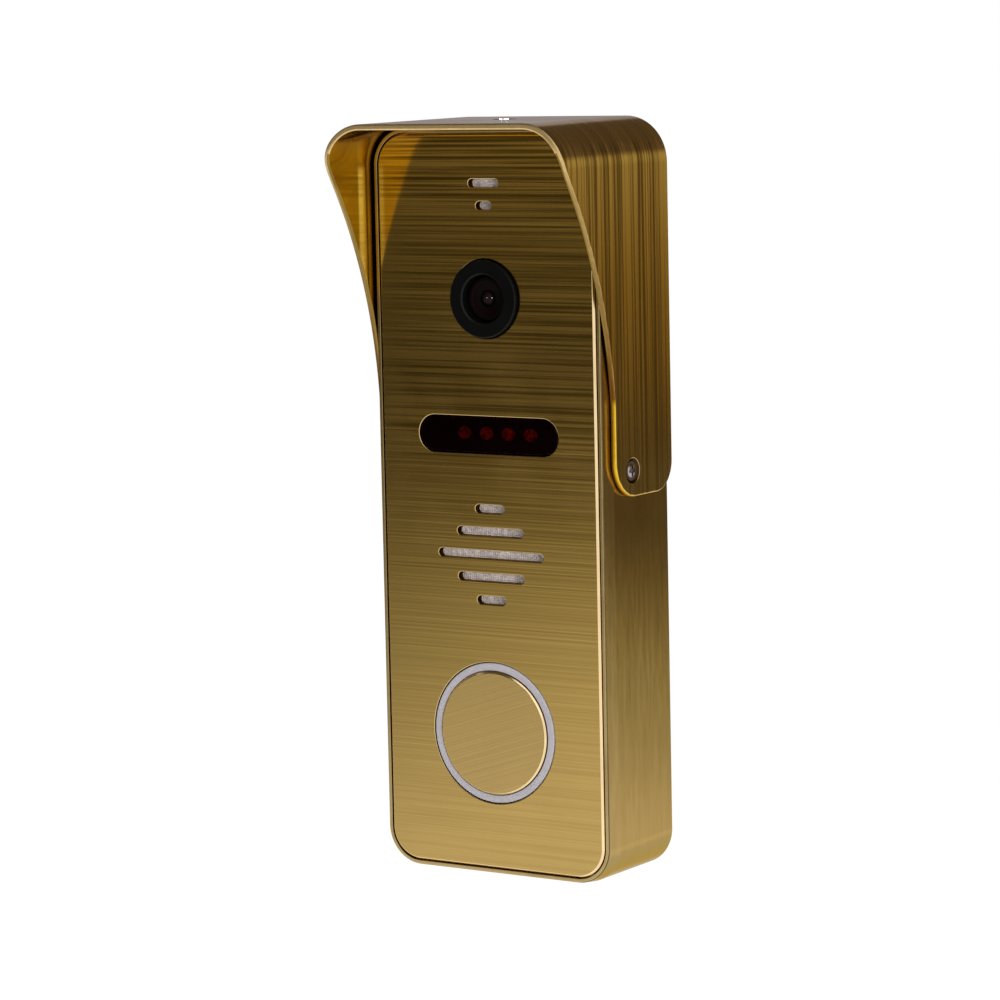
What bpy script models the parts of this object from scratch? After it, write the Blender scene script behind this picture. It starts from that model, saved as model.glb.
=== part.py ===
"""A door intercom panel: a brushed plate in a slim metal housing, under a bent sheet visor.

Metres, +Z up. +X is to the right of someone who faces the panel, +Y goes into the wall, and the
wall's surface is the plane Y = 0. Z = 0 is the middle of the front plate.
"""

import math

import bmesh
import bpy
from mathutils import Vector

MM = 0.001

# Fits between pieces
CLEARANCE = 0.3 * MM
OVERLAP = 0.4 * MM
OVERCUT = 1.0 * MM

# Smoothness of round shapes
CORNER_STEPS = 6
SLOT_STEPS = 5
TURN_STEPS = 24
BUTTON_STEPS = 40
SMALL_STEPS = 12
SMOOTH_ANGLE = math.radians(30)

# Front plate
PANEL_DEPTH = 23.0 * MM
PLATE_WIDTH = 47.4 * MM
PLATE_HEIGHT = 138.0 * MM
PLATE_THICKNESS = 1.5 * MM
PLATE_RADIUS = 6.0 * MM
PLATE_CHAMFER = 0.4 * MM
HOLE_CHAMFER = 0.2 * MM

# Microphone behind two short slots
MIC_Z = 57.8 * MM
MIC_SLOT_WIDTHS = (6.6 * MM, 3.4 * MM)
MIC_SLOT_HEIGHT = 1.6 * MM
MIC_SLOT_PITCH = 4.15 * MM
MIC_MESH_DIAMETER = 10.0 * MM
MIC_PORT_DIAMETER = 3.0 * MM
MIC_CAPSULE_DIAMETER = 6.0 * MM
MIC_CAPSULE_LENGTH = 2.7 * MM
MIC_BOOT_WALL = 1.2 * MM
MIC_BOOT_FLOOR = 1.1 * MM

# Camera
CAMERA_Z = 38.5 * MM
BEZEL_DIAMETER = 14.5 * MM
BEZEL_BORE_DIAMETER = 9.0 * MM
BEZEL_PROUD = 1.05 * MM
BEZEL_CHAMFER = 0.3 * MM
BEZEL_FLANGE = 1.5 * MM
LENS_SETBACK = 1.5 * MM
LENS_NECK_DIAMETER = 8.0 * MM
LENS_BODY_DIAMETER = 12.0 * MM
LENS_GLASS_DIAMETER = 6.0 * MM
LENS_SEAT_DEPTH = 1.2 * MM
LENS_GLASS_EDGE = 0.4 * MM
LENS_GLASS_CROWN = 0.7 * MM
LENS_CROWN_RINGS = 4
LENS_TO_SENSOR = 0.6 * MM
HOLDER_WALL = 1.2 * MM
HOLDER_GRIP = 3.5 * MM
HOLDER_BASE = 16.5 * MM
HOLDER_BASE_RADIUS = 2.0 * MM
HOLDER_BASE_HEIGHT = 1.6 * MM
HOLDER_STEPS = 8
SENSOR_SIDE = 8.0 * MM
SENSOR_HEIGHT = 0.9 * MM

# Lamp window and its four lamps
WINDOW_Z = 13.05 * MM
WINDOW_WIDTH = 30.3 * MM
WINDOW_HEIGHT = 6.5 * MM
WINDOW_SINK = 0.2 * MM
LAMP_COUNT = 4
LAMP_PITCH = 4.9 * MM
LAMP_WIDTH = 3.5 * MM
LAMP_HEIGHT = 2.8 * MM
LAMP_THICKNESS = 1.0 * MM
LAMP_GAP = 0.6 * MM
LAMP_BOARD_WIDTH = 29.0 * MM
LAMP_BOARD_THICKNESS = 1.0 * MM
LAMP_PIN_DIAMETER = 1.6 * MM
LAMP_PIN_SHOULDER = 2.8 * MM
LAMP_PIN_SPACING = 22.0 * MM
LAMP_PIN_PROUD = 0.6 * MM

# Collars and flanges that several pieces use
FLANGE_WIDTH = 1.7 * MM
FLANGE_THICKNESS = 1.2 * MM
COLLAR_WALL = 1.2 * MM
COLLAR_HEIGHT = 1.4 * MM
MESH_THICKNESS = 0.5 * MM

# Speaker behind five slots
SPEAKER_Z = -9.4 * MM
SPEAKER_SLOT_WIDTHS = (6.4 * MM, 14.7 * MM, 23.3 * MM, 14.7 * MM, 6.4 * MM)
SPEAKER_SLOT_HEIGHT = 1.65 * MM
SPEAKER_SLOT_PITCH = 4.3 * MM
SPEAKER_MESH_DIAMETER = 26.0 * MM
SPEAKER_PORT_DIAMETER = 23.0 * MM
SPEAKER_DIAMETER = 28.0 * MM
SPEAKER_RIM = 2.2 * MM
SPEAKER_RIM_THICKNESS = 1.2 * MM
SPEAKER_BASKET_DEPTH = 4.2 * MM
SPEAKER_BASKET_WALL = 0.9 * MM
SPEAKER_BASKET_FLOOR = 17.0 * MM
SPEAKER_CONE_DEPTH = 1.8 * MM
SPEAKER_CONE_SHEET = 0.5 * MM
SPEAKER_CAP_DIAMETER = 6.6 * MM
SPEAKER_CAP_CROWN = 0.8 * MM
MAGNET_DIAMETER = 13.0 * MM
MAGNET_THICKNESS = 1.6 * MM
MAGNET_POLE_DIAMETER = 6.4 * MM

# Call button, which slides along Y as one plunger
BUTTON_Z = -43.15 * MM
BUTTON_TRAVEL = 0.8 * MM
RING_DIAMETER = 26.6 * MM
RING_CHAMFER = 0.25 * MM
RING_FACE = 1.45 * MM
DISC_THICKNESS = 1.1 * MM
DISC_CHAMFER = 0.3 * MM
DISC_SEAT_DEPTH = 1.0 * MM
PLUNGER_WEB = 1.2 * MM
PLUNGER_SKIRT = 2.4 * MM
PLUNGER_POST_DIAMETER = 5.0 * MM
SWITCH_SIDE = 6.2 * MM
SWITCH_HEIGHT = 2.0 * MM
STEM_DIAMETER = 3.4 * MM
STEM_PROUD = 1.8 * MM
STEM_DEPTH = 0.6 * MM
RING_LAMP_COUNT = 4
RING_LAMP_SIDE = 2.4 * MM
RING_LAMP_HEIGHT = 1.1 * MM

# Housing
RIM_GAP = 0.3 * MM
RIM_LAND = 0.7 * MM
RIM_SETBACK = 0.3 * MM
BAND_DEPTH = 3.2 * MM
BAND_TAPER = 0.4 * MM
BACK_CHAMFER = 0.4 * MM
HOUSING_WALL = 3.0 * MM
RECESS_WALL = 1.2 * MM
DECK_THICKNESS = 1.5 * MM
COLUMN_DIAMETER = 6.4 * MM
BOSS_DIAMETER = 5.0 * MM

# Visor, a bent sheet
VISOR_SHEET = 1.0 * MM
VISOR_BEND_RADIUS = 7.6 * MM
VISOR_FIT = 0.2 * MM
VISOR_WALL_GAP = 0.3 * MM
VISOR_REACH = 14.2 * MM
VISOR_SETBACK = 2.55 * MM
VISOR_BOTTOM_Z = 1.9 * MM
VISOR_FRONT_CORNER = 6.8 * MM
VISOR_BACK_CORNER = 5.6 * MM
VISOR_SWEEP_Z = 19.1 * MM
VISOR_SWEEP_START = math.radians(4.4)
VISOR_SWEEP_RADIUS = 88.0 * MM
VISOR_NOSE_RADIUS = 14.0 * MM
VISOR_SLOPE = math.radians(31.8)
VISOR_CORNER_STEPS = 10
VISOR_EDGE_STEPS = 8
VISOR_SCREW_DEPTH = 8.35 * MM
VISOR_TOP_SCREW_DEPTH = 7.8 * MM
VISOR_SCREW_RISE = 4.8 * MM
VISOR_SCREW_SINK = 0.3 * MM
VISOR_SCREW_CROWN = 0.25 * MM

# Main board
BOARD_THICKNESS = 1.6 * MM
BOARD_SIDE_GAP = 1.7 * MM
BOARD_END_GAP = 0.9 * MM
BOARD_RADIUS = 2.0 * MM
BOARD_BOSS_LENGTH = 6.8 * MM
BOARD_BOSS_INSET = 3.0 * MM
CONNECTOR_Z = -12.0 * MM
CONNECTOR_WIDTH = 12.0 * MM
CONNECTOR_DEPTH = 7.5 * MM
CONNECTOR_WALL = 0.8 * MM
CONNECTOR_POCKET = 5.0 * MM

# Back cover and its seal
BRACKET_RECESS = 4.8 * MM
COVER_THICKNESS = 1.5 * MM
SEAL_THICKNESS = 1.0 * MM
CABLE_Z = 20.0 * MM
CABLE_BORE_DIAMETER = 7.0 * MM
GROMMET_WALL = 2.2 * MM
GROMMET_LIP = 1.6 * MM
GROMMET_LIP_THICKNESS = 1.1 * MM

# Wall bracket, a flat sheet with two hooked tongues and a lock tab
BRACKET_THICKNESS = 1.2 * MM
BRACKET_SIDE_GAP = 4.5 * MM
BRACKET_TOP_GAP = 9.0 * MM
BRACKET_RADIUS = 4.0 * MM
BRACKET_CABLE_DIAMETER = 17.0 * MM
WALL_HOLE_WIDTH = 5.0 * MM
WALL_HOLE_LENGTH = 9.0 * MM
WALL_HOLE_TOP_Z = 36.0 * MM
WALL_HOLE_BOTTOM_Z = -40.0 * MM
TONGUE_DROP = 13.2 * MM
TONGUE_X = 10.0 * MM
TONGUE_WIDTH = 7.0 * MM
TONGUE_RISE = 3.0 * MM
TONGUE_WINDOW = 7.5 * MM
KEEPER_LIP = 1.2 * MM
KEEPER_ROOT = 1.5 * MM
KEEPER_DROP = 2.7 * MM
LOCK_TAB_WIDTH = 12.0 * MM

# Screws: head diameter, shank diameter, length under the head's top, height of a raised head
VISOR_SCREW = (3.7 * MM, 2.2 * MM, 3.3 * MM)
COVER_SCREW = (4.4 * MM, 2.5 * MM, 6.5 * MM)
LOCK_SCREW = (3.8 * MM, 2.0 * MM, 4.2 * MM)
BOARD_SCREW = (3.8 * MM, 2.0 * MM, 7.5 * MM)
BOARD_SCREW_HEAD = 1.3 * MM
CROSS_ARM = 0.55
CROSS_WIDTH = 0.16
CROSS_TAPER = 0.6
CROSS_DEPTH = 0.7 * MM

# Distances along Y, from the wall outwards to the front
FACE = -PANEL_DEPTH
PLATE_BACK = FACE + PLATE_THICKNESS
DECK_FRONT = PLATE_BACK + CLEARANCE
DECK_BACK = DECK_FRONT + DECK_THICKNESS
SEAT = DECK_BACK + CLEARANCE
BOARD_FRONT = DECK_BACK + BOARD_BOSS_LENGTH + CLEARANCE
BOARD_BACK = BOARD_FRONT + BOARD_THICKNESS
ON_BOARD = BOARD_FRONT - CLEARANCE
COVER_BACK = -BRACKET_RECESS
COVER_FRONT = COVER_BACK - COVER_THICKNESS
SEAL_BACK = COVER_FRONT - CLEARANCE
SEAL_FRONT = SEAL_BACK - SEAL_THICKNESS
LEDGE = SEAL_FRONT - CLEARANCE

# Offsets of the panel's rounded outline from the plate's own edge
OVERHANG = RIM_GAP + RIM_LAND + BAND_TAPER
RECESS = OVERHANG - RECESS_WALL
CAVITY = OVERHANG - HOUSING_WALL

# Places that several pieces share
COLUMN_X = PLATE_WIDTH / 2 + CAVITY - COLUMN_DIAMETER / 2 + OVERLAP
COLUMN_Z = PLATE_HEIGHT / 2 + CAVITY - COLUMN_DIAMETER / 2 - OVERLAP
BOARD_HALF_WIDTH = PLATE_WIDTH / 2 + CAVITY - BOARD_SIDE_GAP
BOARD_HALF_HEIGHT = COLUMN_Z - COLUMN_DIAMETER / 2 - BOARD_END_GAP
BOARD_BOSS_X = BOARD_HALF_WIDTH - BOARD_BOSS_INSET
BOARD_BOSS_Z = BOARD_HALF_HEIGHT - BOARD_BOSS_INSET
FLANGED_WINDOW = (WINDOW_WIDTH + 2 * FLANGE_WIDTH, WINDOW_HEIGHT + 2 * FLANGE_WIDTH)
LAMP_BACK = DECK_BACK + LAMP_GAP + LAMP_THICKNESS
LAMP_BOARD_FRONT = LAMP_BACK + CLEARANCE
LAMP_PIN_RISE = FLANGED_WINDOW[1] / 2 + CLEARANCE + LAMP_PIN_SHOULDER / 2
MIC_BOOT_RADIUS = MIC_CAPSULE_DIAMETER / 2 + CLEARANCE + MIC_BOOT_WALL
MIC_BOOT_BACK = SEAT + MIC_BOOT_FLOOR + MIC_CAPSULE_LENGTH + 2 * CLEARANCE
CABLE_HOLE_RADIUS = CABLE_BORE_DIAMETER / 2 + GROMMET_WALL + CLEARANCE
VISOR_HALF_WIDTH = PLATE_WIDTH / 2 + OVERHANG + VISOR_FIT + VISOR_SHEET
VISOR_TOP = PLATE_HEIGHT / 2 + OVERHANG + VISOR_FIT + VISOR_SHEET
VISOR_SCREW_Y = FACE + VISOR_SCREW_DEPTH
VISOR_TOP_SCREW_Y = FACE + VISOR_TOP_SCREW_DEPTH
VISOR_SCREW_Z = VISOR_BOTTOM_Z + VISOR_SCREW_RISE
BRACKET_TOP_Z = PLATE_HEIGHT / 2 + RECESS - BRACKET_TOP_GAP
TONGUE_Z = BRACKET_TOP_Z - TONGUE_DROP
LOCK_TAB_Z = -(PLATE_HEIGHT / 2 + RECESS - CLEARANCE)
LOCK_SCREW_Y = (COVER_BACK + CLEARANCE - BRACKET_THICKNESS) / 2
DISC_DIAMETER = RING_DIAMETER - 2 * (RING_FACE + CLEARANCE)
STEM_FRONT = ON_BOARD - SWITCH_HEIGHT - STEM_PROUD
CORNERS = ((-1, -1), (1, -1), (-1, 1), (1, 1))

# Finishes: colour, roughness, metallic
BRUSHED_GOLD = ((0.44, 0.30, 0.10), 0.34, 1.0)
SCREW_STEEL = ((0.55, 0.54, 0.53), 0.35, 1.0)
ZINC = ((0.60, 0.61, 0.62), 0.40, 1.0)
BLACK_PLASTIC = ((0.012, 0.013, 0.014), 0.45, 0.0)
LENS_BLACK = ((0.008, 0.008, 0.009), 0.25, 0.0)
LENS_GLASS = ((0.02, 0.02, 0.03), 0.05, 0.0)
RED_WINDOW = ((0.03, 0.004, 0.004), 0.10, 0.0)
LAMP_BODY = ((0.45, 0.12, 0.10), 0.30, 0.0)
WHITE_LAMP = ((0.85, 0.84, 0.80), 0.35, 0.0)
BOARD_GREEN = ((0.02, 0.12, 0.05), 0.45, 0.0)
PALE_CLOTH = ((0.45, 0.40, 0.40), 0.85, 0.0)
PALE_RING = ((0.52, 0.50, 0.58), 0.35, 0.0)
BLACK_RUBBER = ((0.02, 0.02, 0.02), 0.75, 0.0)
PAPER_CONE = ((0.05, 0.05, 0.05), 0.90, 0.0)
WHITE_PLASTIC = ((0.75, 0.74, 0.70), 0.50, 0.0)


def clear_scene():
    for obj in list(bpy.data.objects):
        bpy.data.objects.remove(obj, do_unlink=True)


def finish_material(name, finish):
    colour, roughness, metallic = finish
    material = bpy.data.materials.new(name)
    material.use_nodes = True
    shader = material.node_tree.nodes["Principled BSDF"]
    shader.inputs["Base Color"].default_value = (*colour, 1.0)
    shader.inputs["Roughness"].default_value = roughness
    shader.inputs["Metallic"].default_value = metallic
    material.diffuse_color = (*colour, 1.0)
    return material


# Outlines in the plane that faces the viewer, as (x, z) points


def circle(radius, steps=TURN_STEPS):
    turn = 2 * math.pi / steps
    return [(radius * math.cos(turn * i), radius * math.sin(turn * i)) for i in range(steps)]


def rounded_rectangle(width, height, radius, steps=CORNER_STEPS):
    points = []
    corners = ((1, 1), (-1, 1), (-1, -1), (1, -1))
    for quarter, (side, level) in enumerate(corners):
        for i in range(steps + 1):
            angle = (quarter + i / steps) * math.pi / 2
            x = side * (width / 2 - radius) + radius * math.cos(angle)
            z = level * (height / 2 - radius) + radius * math.sin(angle)
            points.append((x, z))
    return points


def slot(width, height, steps=SLOT_STEPS):
    """A slot with round ends along its longer side, or a circle if both sides are equal."""
    if abs(width - height) < OVERLAP:
        return circle(width / 2, BUTTON_STEPS)
    radius = min(width, height) / 2
    across = width / 2 - radius
    up = height / 2 - radius
    start = -math.pi / 2 if width > height else 0.0
    points = []
    for half, side in enumerate((1, -1)):
        for i in range(steps + 1):
            angle = start + (half + i / steps) * math.pi
            points.append((side * across + radius * math.cos(angle), side * up + radius * math.sin(angle)))
    return points


def panel_outline(offset):
    """The plate's outline, grown by offset. The housing, its recess and its cavity all follow it."""
    return rounded_rectangle(PLATE_WIDTH + 2 * offset, PLATE_HEIGHT + 2 * offset, PLATE_RADIUS + offset)


def at(outline, y, centre=(0.0, 0.0)):
    return [(x + centre[0], y, z + centre[1]) for x, z in outline]


def arc(centre, radius, first, last, steps):
    """Points on an arc in a plane, with angles in radians."""
    angles = [first + (last - first) * i / steps for i in range(steps + 1)]
    return [(centre[0] + radius * math.cos(a), centre[1] + radius * math.sin(a)) for a in angles]


# Solids


def loft(bm, rings, closed=False):
    """Skins a row of rings with equal numbers of points. An open row gets a flat cap at each end."""
    loops = [[bm.verts.new(point) for point in ring] for ring in rings]
    pairs = list(zip(loops, loops[1:]))
    if closed:
        pairs.append((loops[-1], loops[0]))
    else:
        bm.faces.new(loops[0])
        bm.faces.new(loops[-1])
    for first, second in pairs:
        count = len(first)
        for i in range(count):
            after = (i + 1) % count
            bm.faces.new((first[i], first[after], second[after], second[i]))


def turn(bm, profile, centre=(0.0, 0.0), steps=TURN_STEPS):
    """Spins a profile of (radius, y) points about a line along Y. It is closed if no point is on the line."""
    verts = [bm.verts.new((centre[0] + radius, y, centre[1])) for radius, y in profile]
    pairs = list(zip(verts, verts[1:]))
    if min(radius for radius, _ in profile) > 0:
        pairs.append((verts[-1], verts[0]))
    edges = [bm.edges.new(pair) for pair in pairs]
    bmesh.ops.spin(
        bm,
        geom=verts + edges,
        cent=(centre[0], 0.0, centre[1]),
        axis=(0.0, 1.0, 0.0),
        angle=2 * math.pi,
        steps=steps,
        use_merge=True,
    )


def block(bm, low, high):
    corners = [(low[0], low[2]), (high[0], low[2]), (high[0], high[2]), (low[0], high[2])]
    loft(bm, [at(corners, low[1]), at(corners, high[1])])


def rod(bm, radius, start, end, centre, steps=SMALL_STEPS):
    loft(bm, [at(circle(radius, steps), start, centre), at(circle(radius, steps), end, centre)])


def mesh_of(name, bm):
    bmesh.ops.remove_doubles(bm, verts=bm.verts, dist=0.001 * MM)
    bmesh.ops.recalc_face_normals(bm, faces=bm.faces)
    mesh = bpy.data.meshes.new(name)
    bm.to_mesh(mesh)
    bm.free()
    mesh.shade_smooth()
    mesh.set_sharp_from_angle(angle=SMOOTH_ANGLE)
    return mesh


def place(name, mesh, finish, parent, location=(0.0, 0.0, 0.0), rotation=(0.0, 0.0, 0.0)):
    """A named piece. location and rotation are in the panel's frame, also for a piece of the button."""
    obj = bpy.data.objects.new(name, mesh)
    bpy.context.scene.collection.objects.link(obj)
    obj.data.materials.append(finish_material(name, finish))
    obj.parent = parent
    obj.location = Vector(location) - parent.location
    obj.rotation_euler = rotation
    return obj


def helper(name, bm):
    """A cutter or an added shape for a Boolean, left out of the model itself."""
    obj = bpy.data.objects.new(name, mesh_of(name, bm))
    bpy.context.scene.collection.objects.link(obj)
    obj.hide_render = True
    obj.display_type = "WIRE"
    return obj


def boolean(target, tool, operation):
    step = target.modifiers.new(tool.name, "BOOLEAN")
    step.operation = operation
    step.solver = "EXACT"
    step.object = tool


def empty(name, parent=None, location=(0.0, 0.0, 0.0)):
    obj = bpy.data.objects.new(name, None)
    bpy.context.scene.collection.objects.link(obj)
    obj.parent = parent
    obj.location = location
    return obj


def turned_piece(name, profile, finish, parent, z, steps=TURN_STEPS, x=0.0):
    bm = bmesh.new()
    turn(bm, profile, steps=steps)
    return place(name, mesh_of(name, bm), finish, parent, (x, 0.0, z))


def lofted_piece(name, rings, finish, parent, location=(0.0, 0.0, 0.0), closed=False):
    bm = bmesh.new()
    loft(bm, rings, closed)
    return place(name, mesh_of(name, bm), finish, parent, location)


# Screws, made along Z with the head's top at the origin


def cross_recess(bm, head_diameter):
    arm = CROSS_ARM * head_diameter / 2
    half = CROSS_WIDTH * head_diameter / 2
    corner = [(half, arm), (half, half), (arm, half)]
    points = []
    for quarter in range(4):
        angle = -quarter * math.pi / 2
        across, up = math.cos(angle), math.sin(angle)
        points += [(x * across - z * up, x * up + z * across) for x, z in corner]
    levels = ((1.0, OVERCUT), (1.0, 0.0), (CROSS_TAPER, -CROSS_DEPTH))
    loft(bm, [[(x * grow, z * grow, level) for x, z in points] for grow, level in levels])


def screw_mesh(name, sizes, raised=0.0, crown=0.0):
    """A countersunk screw, with a domed crown if wanted, or one with a flat raised head. All have a cross recess."""
    head, shank, length = sizes
    if raised:
        levels = [(head / 2, 0.0), (head / 2, -raised), (shank / 2, -raised), (shank / 2, -length)]
    else:
        levels = [(head / 2, 0.0), (shank / 2, (shank - head) / 2), (shank / 2, -length)]
    if crown:
        angles = [math.radians(angle) for angle in (72, 48, 24)]
        levels = [(head / 2 * math.cos(angle), crown * math.sin(angle)) for angle in angles] + levels
    bm = bmesh.new()
    loft(bm, [[(x, y, level) for x, y in circle(radius, SMALL_STEPS)] for radius, level in levels])
    blank = bpy.data.objects.new(name + "_blank", mesh_of(name, bm))
    bpy.context.scene.collection.objects.link(blank)
    bm = bmesh.new()
    cross_recess(bm, head)
    tool = helper(name + "_cross", bm)
    boolean(blank, tool, "DIFFERENCE")
    bpy.context.view_layer.update()
    graph = bpy.context.evaluated_depsgraph_get()
    mesh = bpy.data.meshes.new_from_object(blank.evaluated_get(graph))
    mesh.name = name
    bpy.data.objects.remove(blank, do_unlink=True)
    bpy.data.objects.remove(tool, do_unlink=True)
    return mesh


def countersink(sizes, depth, sink=0.0):
    """Radius against depth below the surface for the hole that a countersunk screw sits in, sunk if wanted."""
    head, shank, _ = sizes
    mouth = head / 2 + CLEARANCE + sink
    hole = shank / 2 + CLEARANCE
    return ((mouth + OVERCUT, -OVERCUT), (hole, mouth - hole), (hole, depth))


# The front plate and what shows in it


def plate_holes():
    """Width, height and level of each hole in the front plate."""
    holes = []
    for i, width in enumerate(MIC_SLOT_WIDTHS):
        holes.append((width, MIC_SLOT_HEIGHT, MIC_Z + (0.5 - i) * MIC_SLOT_PITCH))
    middle = (len(SPEAKER_SLOT_WIDTHS) - 1) / 2
    for i, width in enumerate(SPEAKER_SLOT_WIDTHS):
        holes.append((width, SPEAKER_SLOT_HEIGHT, SPEAKER_Z + (middle - i) * SPEAKER_SLOT_PITCH))
    gap = 2 * CLEARANCE
    holes.append((BEZEL_DIAMETER + gap, BEZEL_DIAMETER + gap, CAMERA_Z))
    holes.append((WINDOW_WIDTH + gap, WINDOW_HEIGHT + gap, WINDOW_Z))
    holes.append((RING_DIAMETER + gap, RING_DIAMETER + gap, BUTTON_Z))
    return holes


def front_plate(panel):
    plate = lofted_piece(
        "front_plate",
        [
            at(panel_outline(-PLATE_CHAMFER), FACE),
            at(panel_outline(0.0), FACE + PLATE_CHAMFER),
            at(panel_outline(0.0), PLATE_BACK),
        ],
        BRUSHED_GOLD,
        panel,
    )
    bm = bmesh.new()
    flare = HOLE_CHAMFER + OVERCUT
    for width, height, level in plate_holes():
        steps = ((2 * flare, FACE - OVERCUT), (0.0, FACE + HOLE_CHAMFER), (0.0, PLATE_BACK + OVERCUT))
        loft(bm, [at(slot(width + grow, height + grow), y, (0.0, level)) for grow, y in steps])
    boolean(plate, helper("plate_holes", bm), "DIFFERENCE")


def meshes(panel):
    for name, diameter, level in (
        ("mic_mesh", MIC_MESH_DIAMETER, MIC_Z),
        ("speaker_mesh", SPEAKER_MESH_DIAMETER, SPEAKER_Z),
    ):
        outline = circle(diameter / 2)
        rings = [at(outline, DECK_FRONT), at(outline, DECK_FRONT + MESH_THICKNESS)]
        lofted_piece(name, rings, PALE_CLOTH, panel, (0.0, 0.0, level))


def camera(panel):
    front = FACE - BEZEL_PROUD
    outer = BEZEL_DIAMETER / 2
    bore = BEZEL_BORE_DIAMETER / 2
    flange_back = DECK_FRONT + FLANGE_THICKNESS
    turned_piece(
        "camera_bezel",
        [
            (bore + BEZEL_CHAMFER, front),
            (outer - BEZEL_CHAMFER, front),
            (outer, front + BEZEL_CHAMFER),
            (outer, DECK_FRONT),
            (outer + BEZEL_FLANGE, DECK_FRONT),
            (outer + BEZEL_FLANGE, flange_back),
            (bore, flange_back),
            (bore, front + BEZEL_CHAMFER),
        ],
        BLACK_PLASTIC,
        panel,
        CAMERA_Z,
    )
    neck_front = front + LENS_SETBACK
    seat = neck_front + LENS_SEAT_DEPTH
    shoulder = flange_back + CLEARANCE
    sensor_front = ON_BOARD - SENSOR_HEIGHT
    glass = LENS_GLASS_DIAMETER / 2
    turned_piece(
        "lens_barrel",
        [
            (0.0, seat),
            (glass + CLEARANCE, seat),
            (glass + CLEARANCE, neck_front),
            (LENS_NECK_DIAMETER / 2, neck_front),
            (LENS_NECK_DIAMETER / 2, shoulder),
            (LENS_BODY_DIAMETER / 2, shoulder),
            (LENS_BODY_DIAMETER / 2, sensor_front - LENS_TO_SENSOR),
            (0.0, sensor_front - LENS_TO_SENSOR),
        ],
        LENS_BLACK,
        panel,
        CAMERA_Z,
    )
    glass_back = seat - CLEARANCE
    crown_radius = (glass**2 + LENS_GLASS_CROWN**2) / (2 * LENS_GLASS_CROWN)
    crown_base = glass_back - LENS_GLASS_EDGE
    crown = []
    for i in range(LENS_CROWN_RINGS + 1):
        radius = glass * i / LENS_CROWN_RINGS
        drop = crown_radius - math.sqrt(crown_radius**2 - radius**2)
        crown.append((radius, crown_base - LENS_GLASS_CROWN + drop))
    profile = crown + [(glass, glass_back), (0.0, glass_back)]
    turned_piece("lens_glass", profile, LENS_GLASS, panel, CAMERA_Z)
    camera_holder(panel, shoulder)
    half = SENSOR_SIDE / 2
    bm = bmesh.new()
    block(bm, (-half, sensor_front, -half), (half, ON_BOARD, half))
    place("image_sensor", mesh_of("image_sensor", bm), LENS_BLACK, panel, (0.0, 0.0, CAMERA_Z))


def camera_holder(panel, shoulder):
    """A tube that grips the lens, on a square foot."""
    count = 4 * (HOLDER_STEPS + 1)
    bore = circle(LENS_BODY_DIAMETER / 2 + CLEARANCE, count)
    tube = circle(LENS_BODY_DIAMETER / 2 + CLEARANCE + HOLDER_WALL, count)
    foot = rounded_rectangle(HOLDER_BASE, HOLDER_BASE, HOLDER_BASE_RADIUS, HOLDER_STEPS)
    tube_front = shoulder + HOLDER_GRIP / 2
    foot_front = ON_BOARD - HOLDER_BASE_HEIGHT
    rings = [
        at(bore, tube_front),
        at(tube, tube_front),
        at(tube, foot_front),
        at(foot, foot_front),
        at(foot, ON_BOARD),
        at(bore, ON_BOARD),
    ]
    lofted_piece("camera_holder", rings, BLACK_PLASTIC, panel, (0.0, 0.0, CAMERA_Z), closed=True)


def lamp_window(panel):
    front = FACE + WINDOW_SINK
    pane = slot(WINDOW_WIDTH, WINDOW_HEIGHT)
    flange = slot(*FLANGED_WINDOW)
    rings = [
        at(pane, front),
        at(pane, DECK_FRONT),
        at(flange, DECK_FRONT),
        at(flange, DECK_FRONT + FLANGE_THICKNESS),
    ]
    lofted_piece("ir_window", rings, RED_WINDOW, panel, (0.0, 0.0, WINDOW_Z))
    outline = rounded_rectangle(LAMP_WIDTH, LAMP_HEIGHT, LAMP_HEIGHT / 8, steps=2)
    for i in range(LAMP_COUNT):
        x = (i - (LAMP_COUNT - 1) / 2) * LAMP_PITCH
        rings = [at(outline, LAMP_BACK - LAMP_THICKNESS), at(outline, LAMP_BACK)]
        lofted_piece(f"ir_led_{i + 1}", rings, LAMP_BODY, panel, (x, 0.0, WINDOW_Z))
    height = 2 * LAMP_PIN_RISE + LAMP_PIN_SHOULDER
    board_outline = rounded_rectangle(LAMP_BOARD_WIDTH, height, LAMP_PIN_SHOULDER / 2, steps=3)
    board_back = LAMP_BOARD_FRONT + LAMP_BOARD_THICKNESS
    rings = [at(board_outline, LAMP_BOARD_FRONT), at(board_outline, board_back)]
    board = lofted_piece("ir_led_board", rings, BOARD_GREEN, panel, (0.0, 0.0, WINDOW_Z))
    bm = bmesh.new()
    for x, z in lamp_pins():
        rod(bm, LAMP_PIN_DIAMETER / 2 + CLEARANCE, LAMP_BOARD_FRONT - OVERCUT, board_back + OVERCUT, (x, z))
    boolean(board, helper("lamp_board_holes", bm), "DIFFERENCE")


def lamp_pins():
    """A locating pin near each corner of the lamp board."""
    return [(side * LAMP_PIN_SPACING / 2, WINDOW_Z + level * LAMP_PIN_RISE) for side, level in CORNERS]


# Sound


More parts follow.
